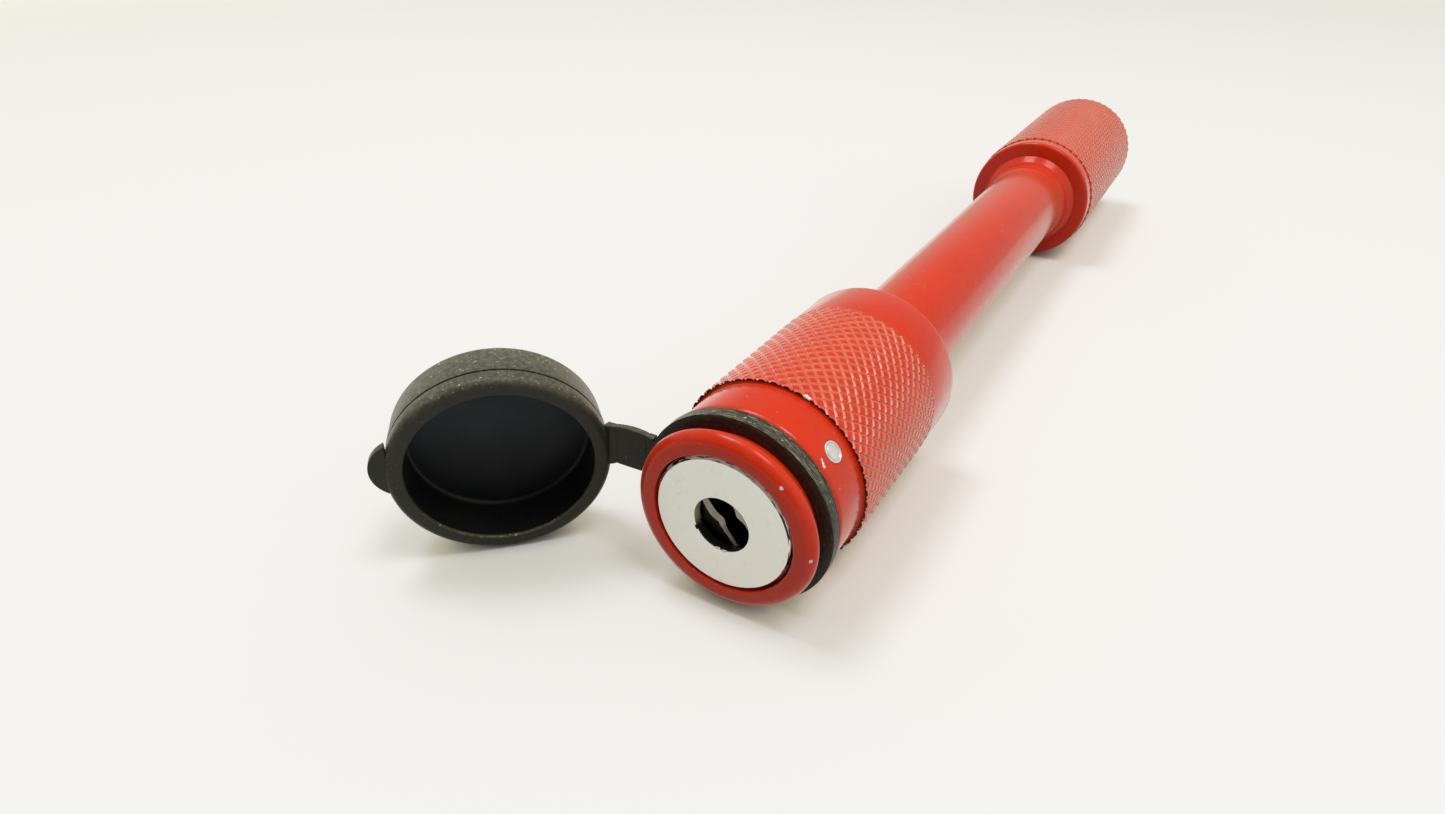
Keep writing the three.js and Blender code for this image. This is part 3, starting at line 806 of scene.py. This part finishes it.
def open_mouth():
    """The open cap's mouth: its centre, and its axis from the mouth inwards."""
    swing = open_swing()
    centre = swing @ Vector((0, CLOSED_MOUTH * MM, 0))
    return tuple(centre), tuple(swing.to_3x3() @ Vector((0, -1, 0)))


# Finishes and stage

PALE_STEEL_SHARE = 1.42
# Share for the key plug's brass in painted shade, then the colour of its painted light
PLUG_SHADE_SHARE = 0.07
BRASS_PAINTED_LIGHT = (0.97, 0.9, 0.72)


@listed
class HITCHPIN_OT_materials(bpy.types.Operator):
    """Makes the shared node groups and the finishes"""

    bl_idname = "hitch_pin.materials"
    bl_label = "Finishes"

    def execute(self, context):
        colours = context.scene.hitch_pin_colours
        speck_group()
        mottle_group()
        hairline_group()
        paint_material("red_enamel", colours)
        paint_material("knurl_enamel", colours, knurled=True)
        chrome_material(colours, context.scene.hitch_pin_sizes)
        pale, shaded_brass = shade(colours.steel, PALE_STEEL_SHARE), shade(colours.brass, PLUG_SHADE_SHARE)
        metal_material("satin_steel", colours.steel, 0.7, 0.3, 0.5, turned_lines=True)
        metal_material("pale_steel", pale, 0.82, 0.35, 0.55, metallic=0.35)
        metal_material("brass_painted_light", BRASS_PAINTED_LIGHT, 0.85, 0.24, 0.42, metallic=0)
        metal_material("brass_painted_shade", shaded_brass, 0.4, 0.35, 0.6)
        rubber_material("dusty_rubber", colours, 0.3)
        rubber_material("ring_rubber", colours, 0.18, turned_scratches=True)
        rubber_material("cap_rubber", colours, 0.42, inside=open_mouth())
        floor_material(colours)
        return {"FINISHED"}


# Directions from the part to the lamps, then metres and watts
LAMPS = {"left_lamp": (-0.33, 0.017, 0.944), "right_lamp": (0.296, -0.054, 0.954)}
LAMP_CENTRE = (0, -0.14, 0)
LAMP_DISTANCE = 1.2
LAMP_SIZE = 0.36
LAMP_POWER = 4.6
LAMP_COLOUR = (1, 1, 1.04)
SKY_COLOUR = (1, 0.975, 0.9)
CAMERA_PLACE = (39.91, -246.71, 63.07)
CAMERA_RIGHT = (0.85717, 0.51503, 0)
CAMERA_UP = (-0.26984, 0.44909, 0.85176)
CAMERA_BACK = (0.43869, -0.73011, 0.52392)
CAMERA_LENS = 21.92
FLOOR_LEVEL = -12.72
FLOOR_SIZE = 12


@listed
class HITCHPIN_OT_stage(bpy.types.Operator):
    """Makes the pale floor, the soft light and the camera"""

    bl_idname = "hitch_pin.stage"
    bl_label = "Stage"

    def execute(self, context):
        scene = context.scene
        floor = add(
            bpy.ops.mesh.primitive_plane_add, "table_top", (0, 0, FLOOR_LEVEL), size=FLOOR_SIZE
        )
        set_finish(floor.data, "table_top")

        world = bpy.data.worlds.new("studio")
        scene.world = world
        world.use_nodes = True
        nodes = world.node_tree.nodes
        nodes.clear()
        side, back, up = split(nodes.new("ShaderNodeTexCoord").outputs["Generated"])
        path = nodes.new("ShaderNodeLightPath").outputs
        level = plus(times(back, 0.6), times(up, 0.8))
        soft = ramp(level, -0.6, 0.9, 0.03, 0.5)
        soft = plus(soft, ramp(side, 0.3, 0.95, 0, 0.35))
        walls = times(ramp(maths("ABSOLUTE", side), 0.45, 0.95, 0, 0.5), path["Is Glossy Ray"])
        strength = plus(soft, walls)
        sky = node("Background", {"Color": (*SKY_COLOUR, 1), "Strength": strength})
        backdrop = nodes.new("ShaderNodeBackground")
        fill(backdrop, {"Color": (*BACKDROP, 1)})
        shaders = {0: path["Is Camera Ray"], 1: sky.outputs[0], 2: backdrop.outputs[0]}
        mixed = node("MixShader", shaders)
        fill(nodes.new("ShaderNodeOutputWorld"), {"Surface": mixed.outputs[0]})

        for name, direction in LAMPS.items():
            aim = Vector(direction).normalized()
            place = aim * LAMP_DISTANCE + Vector(LAMP_CENTRE)
            bpy.ops.object.light_add(type="AREA", location=place)
            lamp = context.object
            lamp.name = name
            lamp.data.size = LAMP_SIZE
            lamp.data.energy = LAMP_POWER
            lamp.data.color = LAMP_COLOUR
            lamp.rotation_euler = aim.to_track_quat("Z", "Y").to_euler()

        view = bpy.data.cameras.new("photograph_view")
        camera = bpy.data.objects.new("photograph_view", view)
        scene.collection.objects.link(camera)
        view.lens = CAMERA_LENS
        view.clip_start = 0.005
        view.clip_end = 50
        turned = Matrix((CAMERA_RIGHT, CAMERA_UP, CAMERA_BACK)).transposed().to_4x4()
        camera.matrix_world = Matrix.Translation(Vector(CAMERA_PLACE) * MM) @ turned
        scene.camera = camera
        scene.view_settings.view_transform = "Standard"
        return {"FINISHED"}


# Pieces, with profiles of radius, station and, at a rounded corner, fillet

@listed
class HITCHPIN_OT_shaft(bpy.types.Operator):
    """Makes the shaft with its nose, locking groove and collar"""

    bl_idname = "hitch_pin.shaft"
    bl_label = "Shaft"

    def execute(self, context):
        shaft, collar = in_mm("shaft_radius", "collar_radius")
        nose, rear = shaft_box[0].y / MM, shaft_box[1].y / MM
        collar_rear = END_HEAD - 0.1
        collar_front = collar_rear - 3.2
        piece = turn("shaft", [
            (1, nose), (5.1, nose, 0.15), (5.9, nose + 0.8, 0.15), (5.9, nose + 2.2, 0.1),
            (4.2, nose + 2.2, 0.25), (4.2, nose + 5.6, 0.25), (shaft - 0.8, nose + 5.6, 0.15),
            (shaft, nose + 6.4, 0.3), (shaft, collar_front - 0.3, 0.4),
            (shaft + 0.35, collar_front + 0.3, 0.6), (shaft + 0.75, collar_front + 1.6, 1.2),
            (collar, collar_front + 2.9, 0.15), (collar, collar_rear, 0.1), (shaft, collar_rear),
            (shaft, rear, 0.2), (1, rear),
        ], sides=SHAFT_SIDES)
        finish_piece(piece, "red_enamel", "pin", "red_paint", "pin_shaft")
        return {"FINISHED"}


END_BAND_RADIUS = 12.42
END_BAND_LENGTH = 3.6
END_KNURL_ROWS = 23
END_KNURL_EDGE = -1.2
END_SOCKET_FLOOR = -19


@listed
class HITCHPIN_OT_end_head(bpy.types.Operator):
    """Makes the knurled end head"""

    bl_idname = "hitch_pin.end_head"
    bl_label = "End Head"

    def execute(self, context):
        head, shaft, depth = in_mm("head_radius", "shaft_radius", "knurl_depth")
        under = head - depth - SLEEVE_SINK
        band_end = END_HEAD + END_BAND_LENGTH
        piece = turn("end_head_knurled", [
            (1, 0), (head - 1, 0, 0.35), (under, END_KNURL_EDGE + 0.35, 0.1),
            (under, band_end + 0.05), (END_BAND_RADIUS, band_end - 0.05, 0.02),
            (END_BAND_RADIUS, END_HEAD, 0.7), (shaft + 0.1, END_HEAD, 0.15),
            (shaft + 0.1, END_SOCKET_FLOOR), (1, END_SOCKET_FLOOR),
        ], steps=5)
        add_knurl(piece, band_end, END_KNURL_EDGE, END_KNURL_ROWS)
        finish_piece(piece, None, "pin", "red_paint", "end_head")
        return {"FINISHED"}


# The knurl's ends and the edge of the front band count from the lock face
KNURL_FRONT = 12
KNURL_REAR = 34.7
KNURL_ROWS = 12
BAND_END = 12.06
CHAMBER_RADIUS = 10.2
CHAMBER_FLOOR = 21.85
WEB_RADIUS = 6.8
BORE_FLOOR = 20.65
RETAINING_PIN_TURN = math.radians(41)
RETAINING_PIN_STATION = 9.2
PIN_HOLE_RADIUS = 1.42
PIN_HOLE_DEPTH = 4
PIN_HOLE_MIDDLE = 11.6


@listed
class HITCHPIN_OT_lock_housing(bpy.types.Operator):
    """Makes the lock housing with its lip, ring groove, bands, knurl and bores"""

    bl_idname = "hitch_pin.lock_housing"
    bl_label = "Lock Housing"

    def execute(self, context):
        head, lip, groove, band, rear, bore, depth = in_mm(
            "head_radius", "lip_radius", "groove_radius", "band_radius", "rear_radius",
            "bore_radius", "knurl_depth",
        )
        under = head - depth - SLEEVE_SINK
        shoulder = SHOULDER - LOCK_FACE
        piece = turn("lock_housing_knurled", [
            (under, KNURL_REAR - 0.05), (rear, KNURL_REAR + 0.05, 0.04), (rear, shoulder, 0.6),
            (CHAMBER_RADIUS, shoulder, 0.15), (CHAMBER_RADIUS, CHAMBER_FLOOR),
            (WEB_RADIUS, CHAMBER_FLOOR, 0.1), (WEB_RADIUS, BORE_FLOOR, 0.1), (bore, BORE_FLOOR),
            (bore, 0, 0.14), (10.42, 0), (10.55, 0.03), (10.85, 0.15), (11.15, 0.34), (11.4, 0.6),
            (11.57, 0.88), (lip, 1.16), (lip - 0.01, 1.38), (lip - 0.12, 1.62),
            (lip - 0.34, 1.82), (lip - 0.62, 1.92), (groove, 1.93, 0.12), (groove, 5.4, 0.15),
            (band, 5.4, 1.1), (band, BAND_END), (under, BAND_END), (under, KNURL_REAR - 0.05),
        ], origin=LOCK_FACE, steps=5)
        low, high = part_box("retaining_pin")
        side, up = math.cos(RETAINING_PIN_TURN), math.sin(RETAINING_PIN_TURN)
        cut_with(piece, cylinder(
            "pin_hole_cutter", SMALL_SIDES, PIN_HOLE_RADIUS, PIN_HOLE_DEPTH,
            (PIN_HOLE_MIDDLE * side, (low.y + high.y) / 2 / MM, PIN_HOLE_MIDDLE * up),
            turned=(0, QUARTER_TURN - RETAINING_PIN_TURN, 0),
        ))
        add_knurl(piece, LOCK_FACE + KNURL_FRONT, LOCK_FACE + KNURL_REAR, KNURL_ROWS)
        finish_piece(piece, None, "lock_head", "red_paint", "lock_housing")
        return {"FINISHED"}


@listed
class HITCHPIN_OT_retaining_pin(bpy.types.Operator):
    """Makes the silver pin that is set into the front band"""

    bl_idname = "hitch_pin.retaining_pin"
    bl_label = "Retaining Pin"

    def execute(self, context):
        [band] = in_mm("band_radius")
        piece = turn("retaining_pin_round", [
            (0.15, 6.6), (1.15, 6.6, 0.1), (1.15, band - 1.9), (1.34, band - 1.7),
            (1.34, band + 0.02, 0.06), (1.17, band + 0.06, 0.04), (1.08, band - 0.12, 0.02),
            (0.98, band - 0.12, 0.02), (0.88, band + 0.04, 0.06), (0.4, band + 0.1),
            (0.15, band + 0.11),
        ], sides=SMALL_SIDES)
        upright = Matrix.Rotation(-QUARTER_TURN, 4, "Z")
        turned = Matrix.Rotation(-RETAINING_PIN_TURN, 4, "Y")
        place = (0, (LOCK_FACE + RETAINING_PIN_STATION) * MM, 0)
        move(piece, Matrix.Translation(place) @ turned @ upright)
        finish_piece(piece, "pale_steel", "lock_head", "steel", "retaining_pin")
        return {"FINISHED"}


FACE_SETBACK = 0.15
NOTCH_TURN = math.radians(206)
NOTCH_SIZE = (0.5, 4, 0.62)


@listed
class HITCHPIN_OT_lock_face(bpy.types.Operator):
    """Makes the lock cylinder with its bright face and the keyhole"""

    bl_idname = "hitch_pin.lock_face"
    bl_label = "Lock Face"

    def execute(self, context):
        face, keyhole, bore = in_mm("face_radius", "keyhole_radius", "bore_radius")
        body = bore - 0.1
        front = LOCK_FACE + FACE_SETBACK
        piece = turn("lock_cylinder_plated", [
            (keyhole, 0, 0.12), (face - 0.36, 0, 0.04), (face, 0.34, 0.08), (face, 4.8),
            (body, 4.8, 0.1), (body, 20.2, 0.1), (5, 20.2), (5, 1.3), (keyhole, 1.3, 0.1),
            (keyhole, 0, 0.12),
        ], origin=front)
        side, up = keyhole * math.cos(NOTCH_TURN), keyhole * math.sin(NOTCH_TURN)
        cut_with(piece, add(
            bpy.ops.mesh.primitive_cube_add, "notch_cutter", (side, front, up), size=MM,
            rotation=(0, -NOTCH_TURN, 0), scale=NOTCH_SIZE,
        ))
        smooth(piece)
        finish_piece(piece, "chrome_plate", "lock_head", "chrome", "lock_cylinder")
        return {"FINISHED"}


# Each pair of the spread widens the left wall's chamfer above a height in the keyway
KEYWAY_CHAMFER = 0.45
KEYWAY_LEAN = math.radians(-38)
KEYWAY_HEIGHT = 8.2
KEYWAY_DEPTH = 12
KEYWAY_START = 0.5
KEYWAY_SPREAD = (
    (-9, 0.11), (-2.6, 0.04), (-1.6, 0.09), (-1, 0.14), (-0.4, 0.17), (0.2, 0.1), (1.6, -0.04),
    (2.2, -0.08), (2.8, -0.12), (3.3, -0.12),
)


def keyway_cutter(front):
    """The slot's shape: pinched walls, and a chamfer that widens along the left wall."""
    level = (front + KEYWAY_CHAMFER) * MM
    cutter = add(
        bpy.ops.mesh.primitive_grid_add, "keyway_cutter", (0, front + KEYWAY_CHAMFER, 0),
        x_subdivisions=4, y_subdivisions=24, size=1, rotation=(QUARTER_TURN, 0, 0),
    )
    for vertex in cutter.data.vertices:
        across, up = vertex.co.x + 0.5, vertex.co.z * KEYWAY_HEIGHT
        left = -1.55 + 0.45 * math.exp(-(((up + 0.1) / 0.75) ** 2))
        right = 1.62 - 0.4 * math.exp(-(((up + 0.3) / 0.7) ** 2))
        vertex.co.x = (left + across * (right - left)) * MM
        vertex.co.z = up * MM
    start_edit()
    bpy.ops.mesh.extrude_region_move(TRANSFORM_OT_translate={"value": (0, KEYWAY_DEPTH * MM, 0)})
    pick(
        cutter, "FACE",
        lambda face: all(abs(vertex.co.y - level) < MERGE_DISTANCE for vertex in face.verts),
    )
    rise = KEYWAY_CHAMFER + KEYWAY_START
    bpy.ops.mesh.extrude_region_move(TRANSFORM_OT_translate={"value": (0, -rise * MM, 0)})
    for above, spread in KEYWAY_SPREAD:
        pick(
            cutter, "VERT",
            lambda vertex: (
                vertex.co.y < front * MM and vertex.co.x < -MM and vertex.co.z > above * MM
            ),
        )
        spread *= rise / KEYWAY_CHAMFER
        bpy.ops.transform.translate(value=(-spread * MM, 0, 0))
    face_outwards()
    return cutter


@listed
class HITCHPIN_OT_key_plug(bpy.types.Operator):
    """Makes the key plug with its wavy keyway"""

    bl_idname = "hitch_pin.key_plug"
    bl_label = "Key Plug"

    def execute(self, context):
        low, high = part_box("key_plug")
        front, rear = low.y / MM, high.y / MM
        piece = turn("key_plug_slotted", [
            (0.3, front), (4.85, front, 0.15), (4.85, front + 16, 0.1), (2.9, front + 16, 0.1),
            (2.9, rear, 0.15), (0.3, rear),
        ], steps=3, sides=SHAFT_SIDES)
        lean = Matrix.Rotation(KEYWAY_LEAN, 4, "Y")
        across = lean @ Vector((1, 0, 0))
        cutter = keyway_cutter(front)
        move(cutter, lean)
        cut_with(piece, cutter)
        start_edit()
        bpy.ops.mesh.bisect(plane_no=across)
        bpy.ops.object.mode_set(mode="OBJECT")
        smooth(piece)
        finish_piece(piece, "brass_painted_shade", "plug", "brass", "key_plug")
        # The chamfer and the right half of the front are painted lit, the rest is in painted shade
        piece.data.materials.append(bpy.data.materials["brass_painted_light"])
        for face in piece.data.polygons:
            middle = face.center
            sloped = 0.2 < -face.normal.y < 0.95
            near = front * MM < middle.y < (front + KEYWAY_CHAMFER) * MM
            inside = math.hypot(middle.x, middle.z) < 4.6 * MM
            end = face.normal.y < -0.95 and middle.y < (front + 0.05) * MM
            if (sloped and near and inside) or (end and middle.dot(across) > 0):
                face.material_index = 1
        return {"FINISHED"}


@listed
class HITCHPIN_OT_rubber_ring(bpy.types.Operator):
    """Makes the rubber ring that sits in the housing's groove"""

    bl_idname = "hitch_pin.rubber_ring"
    bl_label = "Rubber Ring"

    def execute(self, context):
        ring, groove = in_mm("ring_radius", "groove_radius")
        inner = groove + 0.08
        front, rear = LOCK_FACE + 3.3, LOCK_FACE + 5.2
        piece = turn("rubber_ring", [
            (inner, front, 0.15), (ring, front, 0.07), (ring, rear - 0.44),
            (ring - 0.16, rear - 0.39), (ring - 0.02, rear - 0.33), (ring - 0.03, rear - 0.19),
            (ring - 0.18, rear - 0.14), (ring - 0.06, rear - 0.09), (ring - 0.1, rear, 0.03),
            (inner, rear, 0.15), (inner, front, 0.15),
        ])
        finish_piece(piece, "ring_rubber", "lock_head", "rubber", "cap_ring")
        return {"FINISHED"}


@listed
class HITCHPIN_OT_dust_cap(bpy.types.Operator):
    """Makes the rubber dust cap"""

    bl_idname = "hitch_pin.dust_cap"
    bl_label = "Dust Cap"

    def execute(self, context):
        rim, height = in_mm("cap_radius", "cap_height")
        piece = turn("dust_cap_moulded", [
            (0.4, 1.3 - height), (11.5, 1.3 - height, 0.6), (11.72, -4), (11.8, -0.85, 0.12),
            (11.32, -0.5, 0.12), (11.32, 0, 0.22), (rim, 0, 0.95), (rim, -2.14, 0.06),
            (rim - 0.42, -2.22, 0.03), (rim - 0.42, -2.4, 0.03), (rim - 0.02, -2.5, 0.06),
            (rim - 0.06, -3.4), (rim - 0.42, -height, 1.15), (0.4, -height),
        ], origin=CLOSED_MOUTH, steps=6)
        move(piece, open_swing())
        finish_piece(piece, "cap_rubber", "cap", "rubber", "dust_cap")
        return {"FINISHED"}


TAB_SIDES = 96
TAB_RADIUS = 4.2
TAB_REACH = 1.7
TAB_THICKNESS = 1.1
TAB_SETBACK = 0.5
TAB_HEIGHT = 1.5
TAB_ROOT = 0.55


@listed
class HITCHPIN_OT_pull_tab(bpy.types.Operator):
    """Makes the half-round pull tab on the cap's rim"""

    bl_idname = "hitch_pin.pull_tab"
    bl_label = "Pull Tab"

    def execute(self, context):
        [rim] = in_mm("cap_radius")
        station = CLOSED_MOUTH - TAB_SETBACK - TAB_THICKNESS / 2
        place = (rim + TAB_REACH - TAB_RADIUS, station, TAB_HEIGHT)
        piece = cylinder("pull_tab", TAB_SIDES, TAB_RADIUS, TAB_THICKNESS, place)
        start_edit()
        bpy.ops.mesh.bisect(
            plane_co=((rim - TAB_ROOT) * MM, 0, 0), plane_no=(1, 0, 0), use_fill=True,
            clear_inner=True,
        )
        bpy.ops.object.mode_set(mode="OBJECT")
        round_edges(piece, 0.45, 5)
        move(piece, open_swing())
        finish_piece(piece, "dusty_rubber", "cap", "rubber", "cap_pull_tab")
        return {"FINISHED"}


STRAP_HALF_WIDTH = 2.95
STRAP_STEPS = 20


def strap_sections(height):
    """The strap's cross-sections from ring to cap: (x, thickness, bottom, top)."""
    low, high = height - STRAP_HALF_WIDTH, height + STRAP_HALF_WIDTH
    sections = [
        (-11.9, 1.1, low + 0.1, high - 0.1), (-12.4, 0.95, low + 0.2, high - 0.08),
        (-12.78, 0.9, low + 0.28, high - 0.06), (-12.95, 0.62, low + 0.3, high - 0.06),
        (-13.12, 0.9, low + 0.3, high - 0.05),
    ]
    for step in range(1, STRAP_STEPS):
        share = step / STRAP_STEPS
        arch = 0.22 * math.sin(math.pi * share) - 0.05 - 0.27 * share
        sections.append((-13.12 - 4.4 * share, 0.9, low + 0.3 - 0.18 * share, high + arch))
    return sections + [
        (-17.52, 0.9, low + 0.12, high - 0.32), (-17.7, 0.66, low + 0.1, high - 0.36),
        (-17.88, 0.92, low + 0.02, high - 0.4), (-18.3, 1, low - 0.2, high - 0.48),
        (-18.8, 1.1, low - 0.4, high - 0.55), (-19.3, 1.2, low - 0.5, high - 0.6),
    ]


def strip(name, middle, sections):
    """A closed strip along X, extruded from section to section."""
    x, thickness, bottom, top = sections[0]
    piece = add(
        bpy.ops.mesh.primitive_plane_add, name, (x, middle, (bottom + top) / 2), size=MM,
        rotation=(0, QUARTER_TURN, 0),
    )
    start_edit()
    bpy.ops.transform.resize(value=(1, thickness, top - bottom))
    for section in sections[1:]:
        next_x, next_thickness, next_bottom, next_top = section
        rise = (next_bottom + next_top - bottom - top) / 2
        bpy.ops.mesh.extrude_region_move(
            TRANSFORM_OT_translate={"value": ((next_x - x) * MM, 0, rise * MM)}
        )
        bpy.ops.transform.resize(
            value=(1, next_thickness / thickness, (next_top - next_bottom) / (top - bottom)),
            center_override=(next_x * MM, middle * MM, (next_bottom + next_top) / 2 * MM),
        )
        x, thickness, bottom, top = section
    close_shape(piece)
    return piece


@listed
class HITCHPIN_OT_strap(bpy.types.Operator):
    """Makes the flat rubber strap between ring and cap"""

    bl_idname = "hitch_pin.strap"
    bl_label = "Strap"

    def execute(self, context):
        pivot = Vector(fold["pos_m"]) / MM
        piece = strip("strap", pivot.y + 0.45, strap_sections(pivot.z))
        round_edges(piece, 0.15, 3, STRAP_SMOOTH_ANGLE)
        set_finish(piece.data, "dusty_rubber")
        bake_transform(piece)
        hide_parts("strap_ring_half", "strap_cap_half")
        return {"FINISHED"}


INNER_WORKS = {
    "satin_steel": ("shaft_guide", "plug_clip", "drive_cam", "cam_cross_pin", "locking_bolt"),
    "ring_rubber": ("shaft_seal", "cylinder_seal"),
}


@listed
class HITCHPIN_OT_inner_works(bpy.types.Operator):
    """Gives the pieces inside the lock head their finishes"""

    bl_idname = "hitch_pin.inner_works"
    bl_label = "Inner Works"

    def execute(self, context):
        for finish, names in INNER_WORKS.items():
            for name in names:
                set_finish(frame["nodes"][name].data, finish)
        return {"FINISHED"}


class HITCHPIN_PT_pieces(bpy.types.Panel):
    """Lists the sizes, the colours and the steps that build the pin"""

    bl_label = "Locking Hitch Pin"
    bl_idname = "HITCHPIN_PT_pieces"
    bl_space_type = "VIEW_3D"
    bl_region_type = "UI"
    bl_category = "Hitch Pin"

    def draw(self, context):
        for group in (context.scene.hitch_pin_sizes, context.scene.hitch_pin_colours):
            box = self.layout.box()
            for name in group.__annotations__:
                box.prop(group, name)
        for step in STEPS:
            self.layout.operator(step.bl_idname)


CLASSES = (HitchPinSizes, HitchPinColours, *STEPS, HITCHPIN_PT_pieces)


def register():
    for cls in CLASSES:
        bpy.utils.register_class(cls)
    bpy.types.Scene.hitch_pin_sizes = PointerProperty(type=HitchPinSizes)
    bpy.types.Scene.hitch_pin_colours = PointerProperty(type=HitchPinColours)


def unregister():
    del bpy.types.Scene.hitch_pin_colours
    del bpy.types.Scene.hitch_pin_sizes
    for cls in reversed(CLASSES):
        bpy.utils.unregister_class(cls)


def main():
    """Builds the pin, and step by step."""
    register()
    for step in STEPS:
        group, name = step.bl_idname.split(".")
        getattr(getattr(bpy.ops, group), name)()


if __name__ == "__main__":
    main()
